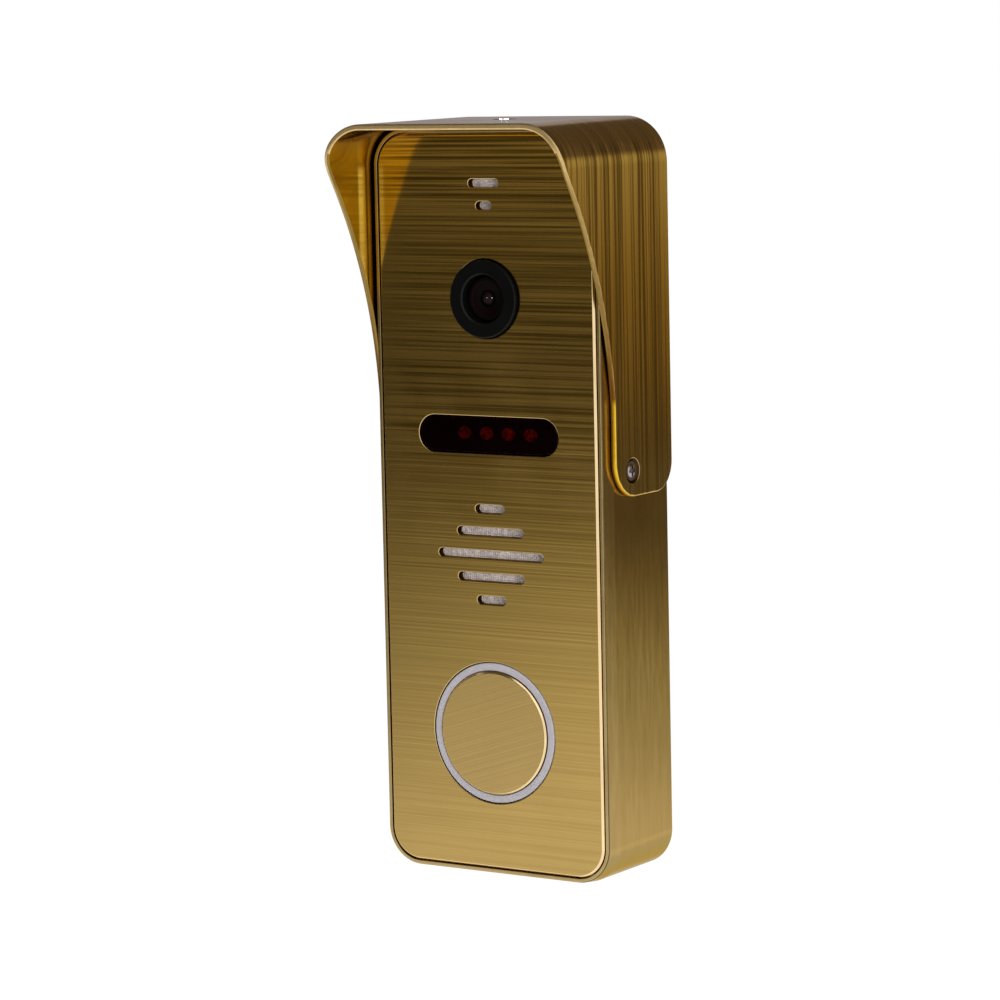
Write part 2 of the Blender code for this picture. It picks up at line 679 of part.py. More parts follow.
def microphone(panel):
    bore = MIC_BOOT_RADIUS - MIC_BOOT_WALL
    floor = SEAT + MIC_BOOT_FLOOR
    port = MIC_PORT_DIAMETER / 2
    profile = [
        (port, SEAT),
        (MIC_BOOT_RADIUS, SEAT),
        (MIC_BOOT_RADIUS, MIC_BOOT_BACK),
        (bore, MIC_BOOT_BACK),
        (bore, floor),
        (port, floor),
    ]
    turned_piece("mic_boot", profile, BLACK_RUBBER, panel, MIC_Z)
    front = floor + CLEARANCE
    end = front + MIC_CAPSULE_LENGTH
    radius = MIC_CAPSULE_DIAMETER / 2
    profile = [(0.0, front), (radius, front), (radius, end), (0.0, end)]
    turned_piece("mic_capsule", profile, ZINC, panel, MIC_Z)


def speaker(panel):
    rim = SPEAKER_DIAMETER / 2
    opening = rim - SPEAKER_RIM
    floor = SPEAKER_BASKET_FLOOR / 2
    pole_hole = MAGNET_POLE_DIAMETER / 2 + CLEARANCE
    basket_back = SEAT + SPEAKER_BASKET_DEPTH
    inside = basket_back - SPEAKER_BASKET_WALL
    turned_piece(
        "speaker_frame",
        [
            (opening, SEAT),
            (rim, SEAT),
            (rim, SEAT + SPEAKER_RIM_THICKNESS),
            (opening + SPEAKER_BASKET_WALL, SEAT + SPEAKER_RIM_THICKNESS),
            (floor, basket_back),
            (pole_hole, basket_back),
            (pole_hole, inside),
            (floor - SPEAKER_BASKET_WALL, inside),
            (opening, SEAT + SPEAKER_RIM_THICKNESS - CLEARANCE),
        ],
        ZINC,
        panel,
        SPEAKER_Z,
    )
    edge = opening - CLEARANCE
    cap = SPEAKER_CAP_DIAMETER / 2
    deep = SEAT + SPEAKER_CONE_DEPTH
    turned_piece(
        "speaker_cone",
        [
            (0.0, deep - SPEAKER_CAP_CROWN),
            (cap / 2, deep - 3 * SPEAKER_CAP_CROWN / 4),
            (cap, deep),
            (edge, SEAT),
            (edge, SEAT + SPEAKER_CONE_SHEET),
            (cap, deep + SPEAKER_CONE_SHEET),
            (0.0, deep + SPEAKER_CONE_SHEET),
        ],
        PAPER_CONE,
        panel,
        SPEAKER_Z,
    )
    front = basket_back + CLEARANCE
    pole_front = inside
    turned_piece(
        "speaker_magnet",
        [
            (0.0, pole_front),
            (MAGNET_POLE_DIAMETER / 2, pole_front),
            (MAGNET_POLE_DIAMETER / 2, front),
            (MAGNET_DIAMETER / 2, front),
            (MAGNET_DIAMETER / 2, front + MAGNET_THICKNESS),
            (0.0, front + MAGNET_THICKNESS),
        ],
        ZINC,
        panel,
        SPEAKER_Z,
    )


# The call button


def call_button(panel):
    """The light ring holds the disc in front and presses the switch stem behind. All three slide together."""
    button = empty("call_button", panel, (0.0, FACE, BUTTON_Z))
    ring = RING_DIAMETER / 2
    seat = DISC_DIAMETER / 2 + CLEARANCE
    floor = FACE + DISC_SEAT_DEPTH
    web_back = floor + PLUNGER_WEB
    flange_back = SEAT + FLANGE_THICKNESS
    skirt = ring - PLUNGER_SKIRT
    post = PLUNGER_POST_DIAMETER / 2
    post_end = STEM_FRONT - CLEARANCE
    turned_piece(
        "button_light_ring",
        [
            (0.0, floor),
            (seat, floor),
            (seat, FACE),
            (ring - RING_CHAMFER, FACE),
            (ring, FACE + RING_CHAMFER),
            (ring, SEAT),
            (ring + FLANGE_WIDTH, SEAT),
            (ring + FLANGE_WIDTH, flange_back),
            (skirt, flange_back),
            (skirt, web_back),
            (post, web_back),
            (post, post_end),
            (0.0, post_end),
        ],
        PALE_RING,
        button,
        BUTTON_Z,
        BUTTON_STEPS,
    )
    disc = DISC_DIAMETER / 2
    disc_back = floor - CLEARANCE
    disc_front = disc_back - DISC_THICKNESS
    profile = [
        (0.0, disc_front),
        (disc - DISC_CHAMFER, disc_front),
        (disc, disc_front + DISC_CHAMFER),
        (disc, disc_back),
        (0.0, disc_back),
    ]
    turned_piece("button_disc", profile, BRUSHED_GOLD, button, BUTTON_Z, BUTTON_STEPS)
    stem = STEM_DIAMETER / 2
    stem_end = ON_BOARD - SWITCH_HEIGHT + STEM_DEPTH
    profile = [(0.0, STEM_FRONT), (stem, STEM_FRONT), (stem, stem_end), (0.0, stem_end)]
    turned_piece("switch_stem", profile, WHITE_PLASTIC, button, BUTTON_Z, SMALL_STEPS)
    switch_body(panel, stem_end)


def switch_body(panel, stem_end):
    half = SWITCH_SIDE / 2
    front = ON_BOARD - SWITCH_HEIGHT
    bm = bmesh.new()
    block(bm, (-half, front, -half), (half, ON_BOARD, half))
    body = place("switch_body", mesh_of("switch_body", bm), BLACK_PLASTIC, panel, (0.0, 0.0, BUTTON_Z))
    bm = bmesh.new()
    bore_end = stem_end + BUTTON_TRAVEL + CLEARANCE
    rod(bm, STEM_DIAMETER / 2 + CLEARANCE, front - OVERCUT, bore_end, (0.0, BUTTON_Z))
    boolean(body, helper("stem_bore", bm), "DIFFERENCE")


def ring_lamps(panel):
    radius = RING_DIAMETER / 2 - PLUNGER_SKIRT / 2
    half = RING_LAMP_SIDE / 2
    for i in range(RING_LAMP_COUNT):
        angle = (i + 0.5) * 2 * math.pi / RING_LAMP_COUNT
        name = f"ring_led_{i + 1}"
        bm = bmesh.new()
        block(bm, (-half, ON_BOARD - RING_LAMP_HEIGHT, -half), (half, ON_BOARD, half))
        spot = (radius * math.cos(angle), 0.0, BUTTON_Z + radius * math.sin(angle))
        place(name, mesh_of(name, bm), WHITE_LAMP, panel, spot)


# The housing


def housing(panel):
    rim_front = FACE + RIM_SETBACK
    body = lofted_piece(
        "housing",
        [
            at(panel_outline(RIM_GAP), DECK_FRONT),
            at(panel_outline(RIM_GAP), rim_front),
            at(panel_outline(RIM_GAP + RIM_LAND), rim_front),
            at(panel_outline(OVERHANG), rim_front + BAND_DEPTH),
            at(panel_outline(OVERHANG), -BACK_CHAMFER),
            at(panel_outline(OVERHANG - BACK_CHAMFER), 0.0),
            at(panel_outline(RECESS), 0.0),
            at(panel_outline(RECESS), LEDGE),
            at(panel_outline(CAVITY), LEDGE),
            at(panel_outline(CAVITY), DECK_BACK),
        ],
        BRUSHED_GOLD,
        panel,
    )
    boolean(body, housing_bosses(), "UNION")
    boolean(body, housing_openings(), "DIFFERENCE")


def housing_bosses():
    """Posts and collars that stand on the back of the deck."""
    root = DECK_BACK - OVERLAP
    bm = bmesh.new()
    for side, level in CORNERS:
        rod(bm, COLUMN_DIAMETER / 2, root, LEDGE - CLEARANCE, (side * COLUMN_X, level * COLUMN_Z))
        boss = (side * BOARD_BOSS_X, level * BOARD_BOSS_Z)
        rod(bm, BOSS_DIAMETER / 2, root, DECK_BACK + BOARD_BOSS_LENGTH, boss)
    for x, z in lamp_pins():
        shoulder = LAMP_PIN_SHOULDER / 2
        pin = LAMP_PIN_DIAMETER / 2
        top = LAMP_BOARD_FRONT - CLEARANCE
        end = LAMP_BOARD_FRONT + LAMP_BOARD_THICKNESS + LAMP_PIN_PROUD
        profile = [(0.0, root), (shoulder, root), (shoulder, top), (pin, top), (pin, end), (0.0, end)]
        turn(bm, profile, (x, z), SMALL_STEPS)
    for seat, _, level in sound_seats():
        rod(bm, seat + COLLAR_WALL, root, DECK_BACK + COLLAR_HEIGHT, (0.0, level), TURN_STEPS)
    return helper("housing_bosses", bm)


def sound_seats():
    """Radius, back end and level of the round seats for the microphone's boot and the speaker."""
    return (
        (MIC_BOOT_RADIUS + CLEARANCE, MIC_BOOT_BACK + CLEARANCE, MIC_Z),
        (SPEAKER_DIAMETER / 2 + CLEARANCE, SEAT + SPEAKER_BASKET_DEPTH, SPEAKER_Z),
    )


def housing_openings():
    front = DECK_FRONT - OVERCUT
    back = DECK_BACK + OVERCUT
    pocket = DECK_FRONT + MESH_THICKNESS + CLEARANCE
    bm = bmesh.new()
    mesh_radii = (MIC_MESH_DIAMETER / 2 + CLEARANCE, SPEAKER_MESH_DIAMETER / 2 + CLEARANCE)
    ports = (MIC_PORT_DIAMETER / 2, SPEAKER_PORT_DIAMETER / 2)
    for wide, port, (seat, seat_end, level) in zip(mesh_radii, ports, sound_seats()):
        profile = [
            (0.0, front),
            (wide, front),
            (wide, pocket),
            (port, pocket),
            (port, DECK_BACK),
            (seat, DECK_BACK),
            (seat, seat_end),
            (0.0, seat_end),
        ]
        turn(bm, profile, (0.0, level))
    rod(bm, BEZEL_DIAMETER / 2 + BEZEL_FLANGE + CLEARANCE, front, back, (0.0, CAMERA_Z), TURN_STEPS)
    rod(bm, RING_DIAMETER / 2 + CLEARANCE, front, back, (0.0, BUTTON_Z), BUTTON_STEPS)
    window = slot(FLANGED_WINDOW[0] + 2 * CLEARANCE, FLANGED_WINDOW[1] + 2 * CLEARANCE)
    loft(bm, [at(window, front, (0.0, WINDOW_Z)), at(window, back, (0.0, WINDOW_Z))])
    for side, level in CORNERS:
        column = (side * COLUMN_X, level * COLUMN_Z)
        screw_end = COVER_BACK - COVER_SCREW[2] - CLEARANCE
        rod(bm, COVER_SCREW[1] / 2 + CLEARANCE, screw_end, LEDGE + OVERCUT, column)
        boss = (side * BOARD_BOSS_X, level * BOARD_BOSS_Z)
        screw_end = BOARD_BACK + CLEARANCE + BOARD_SCREW_HEAD - BOARD_SCREW[2] - CLEARANCE
        rod(bm, BOARD_SCREW[1] / 2 + CLEARANCE, screw_end, BOARD_FRONT, boss)
    visor_screw_holes(bm, VISOR_SCREW[1] / 2 + CLEARANCE)
    lock_hole(bm)
    return helper("housing_openings", bm)


def visor_screw_holes(bm, radius):
    """Plain blind holes in the side walls and the top wall, under the visor's countersinks."""
    reach = VISOR_SCREW_SINK + VISOR_SCREW[2] + CLEARANCE
    outline = circle(radius, SMALL_STEPS)
    for side in (-1, 1):
        ends = (side * (VISOR_HALF_WIDTH - reach), side * (VISOR_HALF_WIDTH - VISOR_SHEET))
        loft(bm, [[(x, VISOR_SCREW_Y + u, VISOR_SCREW_Z + v) for u, v in outline] for x in ends])
    ends = (VISOR_TOP - reach, VISOR_TOP - VISOR_SHEET)
    loft(bm, [[(u, VISOR_TOP_SCREW_Y + v, z) for u, v in outline] for z in ends])


def lock_hole(bm):
    """A countersink in the underside, for the screw that locks the panel on its bracket."""
    bottom = -(PLATE_HEIGHT / 2 + OVERHANG)
    depth = RECESS_WALL + OVERLAP
    rings = []
    for radius, level in countersink(LOCK_SCREW, depth):
        rings.append([(u, LOCK_SCREW_Y + v, bottom + level) for u, v in circle(radius, SMALL_STEPS)])
    loft(bm, rings)


# The visor


def visor_side_profile():
    """The visor seen from its side, as (y, z) points: back edge, rounded foot, sweep, slope and nose."""
    back = -VISOR_WALL_GAP
    front = FACE + VISOR_SETBACK
    nose = FACE - VISOR_REACH
    bottom = VISOR_BOTTOM_Z
    quarter = math.pi / 2
    back_corner = (back - VISOR_BACK_CORNER, bottom + VISOR_BACK_CORNER)
    front_corner = (front + VISOR_FRONT_CORNER, bottom + VISOR_FRONT_CORNER)
    points = arc(back_corner, VISOR_BACK_CORNER, 0.0, -quarter, VISOR_EDGE_STEPS)
    points += arc(front_corner, VISOR_FRONT_CORNER, -quarter, -2 * quarter, VISOR_EDGE_STEPS)
    sweep_centre = (
        front - VISOR_SWEEP_RADIUS * math.cos(VISOR_SWEEP_START),
        VISOR_SWEEP_Z - VISOR_SWEEP_RADIUS * math.sin(VISOR_SWEEP_START),
    )
    sweep = arc(sweep_centre, VISOR_SWEEP_RADIUS, VISOR_SWEEP_START, VISOR_SLOPE, VISOR_EDGE_STEPS)
    slope_run = sweep[-1][0] - (nose + VISOR_NOSE_RADIUS * (1 - math.cos(VISOR_SLOPE)))
    slope_top = sweep[-1][1] + slope_run / math.tan(VISOR_SLOPE)
    nose_centre = (nose + VISOR_NOSE_RADIUS, slope_top + VISOR_NOSE_RADIUS * math.sin(VISOR_SLOPE))
    points += sweep
    points += arc(nose_centre, VISOR_NOSE_RADIUS, math.pi + VISOR_SLOPE, math.pi, VISOR_EDGE_STEPS)
    top = max(nose_centre[1], VISOR_TOP) + OVERCUT
    return points + [(nose, top), (back, top)]


def hood_section(inset):
    """Half of the bent sheet's section: up one side, round both bends and down the other."""
    half = VISOR_HALF_WIDTH - inset
    top = VISOR_TOP - inset
    radius = VISOR_BEND_RADIUS + VISOR_SHEET - inset
    foot = VISOR_BOTTOM_Z - OVERCUT
    points = [(half, foot)]
    points += arc((half - radius, top - radius), radius, 0.0, math.pi / 2, VISOR_CORNER_STEPS)
    points += arc((radius - half, top - radius), radius, math.pi / 2, math.pi, VISOR_CORNER_STEPS)
    return points + [(-half, foot)]


def visor(panel):
    section = hood_section(0.0) + list(reversed(hood_section(VISOR_SHEET)))
    rings = [at(section, FACE - VISOR_REACH - OVERCUT), at(section, OVERCUT)]
    hood = lofted_piece("visor", rings, BRUSHED_GOLD, panel)
    bm = bmesh.new()
    reach = VISOR_HALF_WIDTH + OVERCUT
    loft(bm, [[(x, y, z) for y, z in visor_side_profile()] for x in (-reach, reach)])
    boolean(hood, helper("visor_side_profile", bm), "INTERSECT")
    bm = bmesh.new()
    depth = VISOR_SHEET + OVERLAP
    for side in (-1, 1):
        rings = []
        for radius, level in countersink(VISOR_SCREW, depth, VISOR_SCREW_SINK):
            x = side * (VISOR_HALF_WIDTH - level)
            rings.append([(x, VISOR_SCREW_Y + u, VISOR_SCREW_Z + v) for u, v in circle(radius, SMALL_STEPS)])
        loft(bm, rings)
    rings = []
    for radius, level in countersink(VISOR_SCREW, depth, VISOR_SCREW_SINK):
        rings.append([(u, VISOR_TOP_SCREW_Y + v, VISOR_TOP - level) for u, v in circle(radius, SMALL_STEPS)])
    loft(bm, rings)
    boolean(hood, helper("visor_countersinks", bm), "DIFFERENCE")
    mesh = screw_mesh("visor_screw", VISOR_SCREW, crown=VISOR_SCREW_CROWN)
    quarter = math.pi / 2
    half = VISOR_HALF_WIDTH - VISOR_SCREW_SINK
    top = VISOR_TOP - VISOR_SCREW_SINK
    for name, spot, rotation in (
        ("visor_top_screw", (0.0, VISOR_TOP_SCREW_Y, top), (0.0, 0.0, 0.0)),
        ("visor_side_screw_left", (-half, VISOR_SCREW_Y, VISOR_SCREW_Z), (0.0, -quarter, 0.0)),
        ("visor_side_screw_right", (half, VISOR_SCREW_Y, VISOR_SCREW_Z), (0.0, quarter, 0.0)),
    ):
        place(name, mesh.copy(), SCREW_STEEL, panel, spot, rotation)


# The main board


def main_board(panel):
    outline = rounded_rectangle(2 * BOARD_HALF_WIDTH, 2 * BOARD_HALF_HEIGHT, BOARD_RADIUS, steps=3)
    rings = [at(outline, BOARD_FRONT), at(outline, BOARD_BACK)]
    board = lofted_piece("main_board", rings, BOARD_GREEN, panel)
    bm = bmesh.new()
    mesh = screw_mesh("board_screw", BOARD_SCREW, BOARD_SCREW_HEAD)
    for i, (side, level) in enumerate(CORNERS):
        spot = (side * BOARD_BOSS_X, level * BOARD_BOSS_Z)
        rod(bm, BOARD_SCREW[1] / 2 + CLEARANCE, BOARD_FRONT - OVERCUT, BOARD_BACK + OVERCUT, spot)
        top = (spot[0], BOARD_BACK + CLEARANCE + BOARD_SCREW_HEAD, spot[1])
        place(f"main_board_screw_{i + 1}", mesh.copy(), SCREW_STEEL, panel, top, (-math.pi / 2, 0.0, 0.0))
    boolean(board, helper("board_holes", bm), "DIFFERENCE")
    wire_connector(panel)


def wire_connector(panel):
    """A shrouded socket on the back of the board, open downwards."""
    half = CONNECTOR_WIDTH / 2
    front = BOARD_BACK + CLEARANCE
    back = COVER_FRONT - CLEARANCE
    bm = bmesh.new()
    block(bm, (-half, front, 0.0), (half, back, CONNECTOR_DEPTH))
    mesh = mesh_of("wire_connector", bm)
    body = place("wire_connector", mesh, WHITE_PLASTIC, panel, (0.0, 0.0, CONNECTOR_Z))
    inner = half - CONNECTOR_WALL
    low = (-inner, front + CONNECTOR_WALL, CONNECTOR_Z - OVERCUT)
    high = (inner, back - CONNECTOR_WALL, CONNECTOR_Z + CONNECTOR_POCKET)
    bm = bmesh.new()
    block(bm, low, high)
    boolean(body, helper("connector_pocket", bm), "DIFFERENCE")


# The back


def back_cover(panel):
    outline = panel_outline(RECESS - CLEARANCE)
    rings = [at(outline, COVER_FRONT), at(outline, COVER_BACK)]
    cover = lofted_piece("back_cover", rings, BLACK_PLASTIC, panel)
    lip_front = COVER_BACK + CLEARANCE + BRACKET_THICKNESS + CLEARANCE
    lip_back = lip_front + KEEPER_LIP
    root_low = TONGUE_Z + TONGUE_RISE + CLEARANCE
    root_high = root_low + KEEPER_ROOT
    half = TONGUE_WIDTH / 2
    bm = bmesh.new()
    for side in (-1, 1):
        x = side * TONGUE_X
        keeper = [
            (COVER_BACK - OVERLAP, root_high),
            (lip_back, root_high),
            (lip_back, root_low - KEEPER_DROP),
            (lip_front, root_low - KEEPER_DROP),
            (lip_front, root_low),
            (COVER_BACK - OVERLAP, root_low),
        ]
        loft(bm, [[(x + end, y, z) for y, z in keeper] for end in (-half, half)])
    boolean(cover, helper("cover_keepers", bm), "UNION")
    bm = bmesh.new()
    mesh = screw_mesh("cover_screw", COVER_SCREW)
    for i, (side, level) in enumerate(CORNERS):
        spot = (side * COLUMN_X, level * COLUMN_Z)
        rings = []
        for radius, depth in countersink(COVER_SCREW, COVER_THICKNESS + OVERLAP):
            rings.append(at(circle(radius, SMALL_STEPS), COVER_BACK - depth, spot))
        loft(bm, rings)
        top = (spot[0], COVER_BACK, spot[1])
        place(f"cover_screw_{i + 1}", mesh.copy(), SCREW_STEEL, panel, top, (-math.pi / 2, 0.0, 0.0))
    rod(bm, CABLE_HOLE_RADIUS, COVER_FRONT - OVERCUT, COVER_BACK + OVERCUT, (0.0, CABLE_Z), TURN_STEPS)
    boolean(cover, helper("cover_holes", bm), "DIFFERENCE")


def cover_seal(panel):
    outer = panel_outline(RECESS - CLEARANCE)
    inner = panel_outline(CAVITY + CLEARANCE)
    rings = [at(inner, SEAL_FRONT), at(outer, SEAL_FRONT), at(outer, SEAL_BACK), at(inner, SEAL_BACK)]
    lofted_piece("cover_seal", rings, BLACK_RUBBER, panel, closed=True)


def cable_grommet(panel):
    bore = CABLE_BORE_DIAMETER / 2
    groove = bore + GROMMET_WALL
    lip = groove + CLEARANCE + GROMMET_LIP
    front = COVER_FRONT - CLEARANCE
    back = COVER_BACK + CLEARANCE
    profile = [
        (bore, front - GROMMET_LIP_THICKNESS),
        (lip, front - GROMMET_LIP_THICKNESS),
        (lip, front),
        (groove, front),
        (groove, back),
        (lip, back),
        (lip, back + GROMMET_LIP_THICKNESS),
        (bore, back + GROMMET_LIP_THICKNESS),
    ]
    turned_piece("cable_grommet", profile, BLACK_RUBBER, panel, CABLE_Z)


def wall_bracket(panel):
    half = PLATE_WIDTH / 2 + RECESS - BRACKET_SIDE_GAP
    bottom = LOCK_TAB_Z
    outline = rounded_rectangle(2 * half, BRACKET_TOP_Z - bottom, BRACKET_RADIUS)
    centre = (0.0, (BRACKET_TOP_Z + bottom) / 2)
    front = -BRACKET_THICKNESS
    sheet = lofted_piece("wall_bracket", [at(outline, front, centre), at(outline, 0.0, centre)], ZINC, panel)
    bm = bmesh.new()
    inner = COVER_BACK + CLEARANCE
    root = front + OVERLAP
    for side in (-1, 1):
        x = side * TONGUE_X
        hook = [
            (root, TONGUE_Z - BRACKET_THICKNESS),
            (root, TONGUE_Z),
            (inner + BRACKET_THICKNESS, TONGUE_Z),
            (inner + BRACKET_THICKNESS, TONGUE_Z + TONGUE_RISE),
            (inner, TONGUE_Z + TONGUE_RISE),
            (inner, TONGUE_Z - BRACKET_THICKNESS),
        ]
        ends = (x - TONGUE_WIDTH / 2, x + TONGUE_WIDTH / 2)
        loft(bm, [[(end, y, z) for y, z in hook] for end in ends])
    tab = LOCK_TAB_WIDTH / 2
    block(bm, (-tab, inner, bottom), (tab, root, bottom + BRACKET_THICKNESS))
    boolean(sheet, helper("bracket_folds", bm), "UNION")
    boolean(sheet, bracket_holes(bottom), "DIFFERENCE")
    mesh = screw_mesh("bracket_lock_screw", LOCK_SCREW)
    spot = (0.0, LOCK_SCREW_Y, -(PLATE_HEIGHT / 2 + OVERHANG))
    place("bracket_lock_screw", mesh, SCREW_STEEL, panel, spot, (math.pi, 0.0, 0.0))


def bracket_holes(bottom):
    front = -BRACKET_THICKNESS - OVERCUT
    bm = bmesh.new()
    wall_hole = slot(WALL_HOLE_WIDTH, WALL_HOLE_LENGTH)
    for level in (WALL_HOLE_TOP_Z, WALL_HOLE_BOTTOM_Z):
        loft(bm, [at(wall_hole, front, (0.0, level)), at(wall_hole, OVERCUT, (0.0, level))])
    rod(bm, BRACKET_CABLE_DIAMETER / 2, front, OVERCUT, (0.0, CABLE_Z), TURN_STEPS)
    half = TONGUE_WIDTH / 2
    for side in (-1, 1):
        x = side * TONGUE_X
        low = (x - half, -BRACKET_THICKNESS - CLEARANCE, TONGUE_Z + OVERLAP)
        block(bm, low, (x + half, OVERCUT, TONGUE_Z + TONGUE_WINDOW))
    outline = circle(LOCK_SCREW[1] / 2 + CLEARANCE, SMALL_STEPS)
    ends = (bottom - OVERCUT, bottom + BRACKET_THICKNESS + OVERCUT)
    loft(bm, [[(u, LOCK_SCREW_Y + v, z) for u, v in outline] for z in ends])
    return helper("bracket_holes", bm)


def main():
    clear_scene()
    panel = empty("intercom_panel")
    front_plate(panel)
    meshes(panel)
    camera(panel)
    lamp_window(panel)
    microphone(panel)
    speaker(panel)
    call_button(panel)
    ring_lamps(panel)
    housing(panel)
    visor(panel)
    main_board(panel)
    back_cover(panel)
    cover_seal(panel)
    cable_grommet(panel)
    wall_bracket(panel)


main()
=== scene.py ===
"""How the door intercom panel looks: finer pieces, finishes, studio and camera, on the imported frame.

Metres, as in the CAD model: +X to the right of someone who faces the panel, +Y into the wall, +Z up.
"""

import math

import bmesh
import bpy
from mathutils import Matrix, Vector


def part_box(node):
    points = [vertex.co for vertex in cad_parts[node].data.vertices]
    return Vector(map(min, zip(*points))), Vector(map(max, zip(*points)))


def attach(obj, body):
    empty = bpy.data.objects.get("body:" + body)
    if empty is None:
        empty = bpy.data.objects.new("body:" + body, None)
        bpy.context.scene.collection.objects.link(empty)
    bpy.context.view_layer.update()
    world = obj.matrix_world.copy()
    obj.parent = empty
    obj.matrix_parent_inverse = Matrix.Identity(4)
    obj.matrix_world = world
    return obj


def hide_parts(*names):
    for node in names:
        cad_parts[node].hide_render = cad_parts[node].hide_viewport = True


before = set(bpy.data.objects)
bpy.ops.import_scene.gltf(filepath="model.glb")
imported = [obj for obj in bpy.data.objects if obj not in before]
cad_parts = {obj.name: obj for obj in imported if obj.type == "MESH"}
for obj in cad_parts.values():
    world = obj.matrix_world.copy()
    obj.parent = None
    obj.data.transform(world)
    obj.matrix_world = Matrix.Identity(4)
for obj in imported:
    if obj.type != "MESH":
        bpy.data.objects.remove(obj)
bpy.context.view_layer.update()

MM = 0.001
QUARTER = math.pi / 2
OVERCUT = 1.0 * MM
OVERLAP = 0.4 * MM
CLEARANCE = 0.3 * MM
ORIGIN = (0.0, 0.0, 0.0)
SIDES = (-1, 1)
CORNERS = ((-1, 1), (1, 1), (-1, -1), (1, -1))

# Smoothness of round shapes
CORNER_STEPS = 20
SLOT_STEPS = 14
TURN_STEPS = 96
SCREW_STEPS = 40
FILLET_STEPS = 3
LENS_STEPS = 16
SMOOTH_ANGLE = math.radians(32)
EASED_ANGLE = math.radians(40)

# How far a face's normal points along Y: flat, nearly flat, and upright within a fillet's first step
FLAT, NEARLY_FLAT, UPRIGHT = 0.985, 0.95, 0.05

# Camera, set from the lines of the panel in the photograph
CAMERA_PLACE = Vector((391.907, -618.478, 86.385)) * MM
CAMERA_AZIMUTH = math.radians(33.191)
CAMERA_ELEVATION = math.radians(6.836)
CAMERA_ROLL = math.radians(-1.202)
CAMERA_LENS = 138.629
CAMERA_SENSOR = 36.0

# Front plate and what shows in its holes. A slot is a width with a height or a level, a dome is a radius
# with a height, and the lens tube's radii are those of its dish, lip, wall and foot
FACE = -23.0 * MM
PLATE_BACK = -21.5 * MM
PLATE_WIDTH = 47.4 * MM
PLATE_HEIGHT = 138.0 * MM
PLATE_RADIUS = 6.0 * MM
PLATE_CHAMFER = 0.38 * MM
HOLE_ROUND = 0.14 * MM
HOLE_GAP = 0.18 * MM
MIC_Z = 57.8 * MM
MIC_SLOTS = ((6.6 * MM, 59.875 * MM), (3.4 * MM, 55.725 * MM))
MIC_SLOT_HEIGHT = 1.6 * MM
SPEAKER_Z = -9.4 * MM
SPEAKER_SLOT_WIDTHS = (6.4 * MM, 14.7 * MM, 23.3 * MM, 14.7 * MM, 6.4 * MM)
SPEAKER_SLOT_PITCH = 4.3 * MM
SPEAKER_SLOT_HEIGHT = 1.65 * MM
CAMERA_Z = 38.5 * MM
BEZEL_RADIUS = 7.25 * MM
BEZEL_FLANGE = 8.75 * MM
BEZEL_BORE = 4.5 * MM
BEZEL_FRONT = -24.05 * MM
BEZEL_CHAMFER = 0.3 * MM
LENS_FRONT = -22.55 * MM
LENS_LEVEL = -22.05 * MM
LENS_SEAT = -21.35 * MM
LENS_DOME = (1.3 * MM, 0.75 * MM)
DISH_DEPTH = 0.3 * MM
TUBE_RADII = (3.1 * MM, 3.4 * MM, 4.0 * MM, 6.0 * MM)
WINDOW_Z = 13.05 * MM
WINDOW_SIZE = (30.3 * MM, 6.5 * MM)
WINDOW_FRONT = -22.8 * MM
WINDOW_FLANGE = 1.7 * MM
LAMP_DOME = 0.4 * MM
LAMP_DOME_WIDTH = 0.42
BUTTON_Z = -43.15 * MM
RING_RADIUS = 13.3 * MM
RING_FLANGE = 1.7 * MM
RING_FLOOR = -22.0 * MM
RING_WEB_BACK = -20.8 * MM
RING_SKIRT_BACK = -18.2 * MM
RING_SKIRT = 2.4 * MM
RING_BOSS = 2.5 * MM
DISC_RADIUS = 11.7 * MM
DISC_FRONT = -23.4 * MM
DISC_BACK = -22.3 * MM
DISC_CHAMFER = 0.3 * MM

# Levels behind the plate
DECK_FRONT = -21.2 * MM
DECK_BACK = -19.7 * MM
SEAT = -19.4 * MM
FLANGE_BACK = -20.0 * MM
LEDGE = -7.9 * MM
COVER_FRONT = -6.3 * MM
COVER_BACK = -4.8 * MM
MESH_THICKNESS = 0.5 * MM

# Housing, as distances from the plate's outline, and the openings in its deck. A cloth's pocket has the
# radius of its seat and of the port behind it
RIM_GAP = 0.22 * MM
RIM_OUTER = 1.0 * MM
RIM_FRONT = -22.7 * MM
# How far behind the rim's front the painted shade reaches on the right-hand fillets
RIM_PAINTED_SHADE_DEPTH = 0.4 * MM
BAND_BACK = -19.5 * MM
OVERHANG = 1.4 * MM
RECESS = 0.2 * MM
CAVITY = -1.6 * MM
BACK_CHAMFER = 0.4 * MM
HOUSING_BOTTOM = -(PLATE_HEIGHT / 2 + OVERHANG)
CLOTH_POCKETS = ((5.3 * MM, 1.5 * MM, MIC_Z), (13.3 * MM, 11.5 * MM, SPEAKER_Z))
ROUND_OPENINGS = ((9.05 * MM, CAMERA_Z), (13.6 * MM, BUTTON_Z))
WINDOW_OPENING = (34.3 * MM, 10.5 * MM)

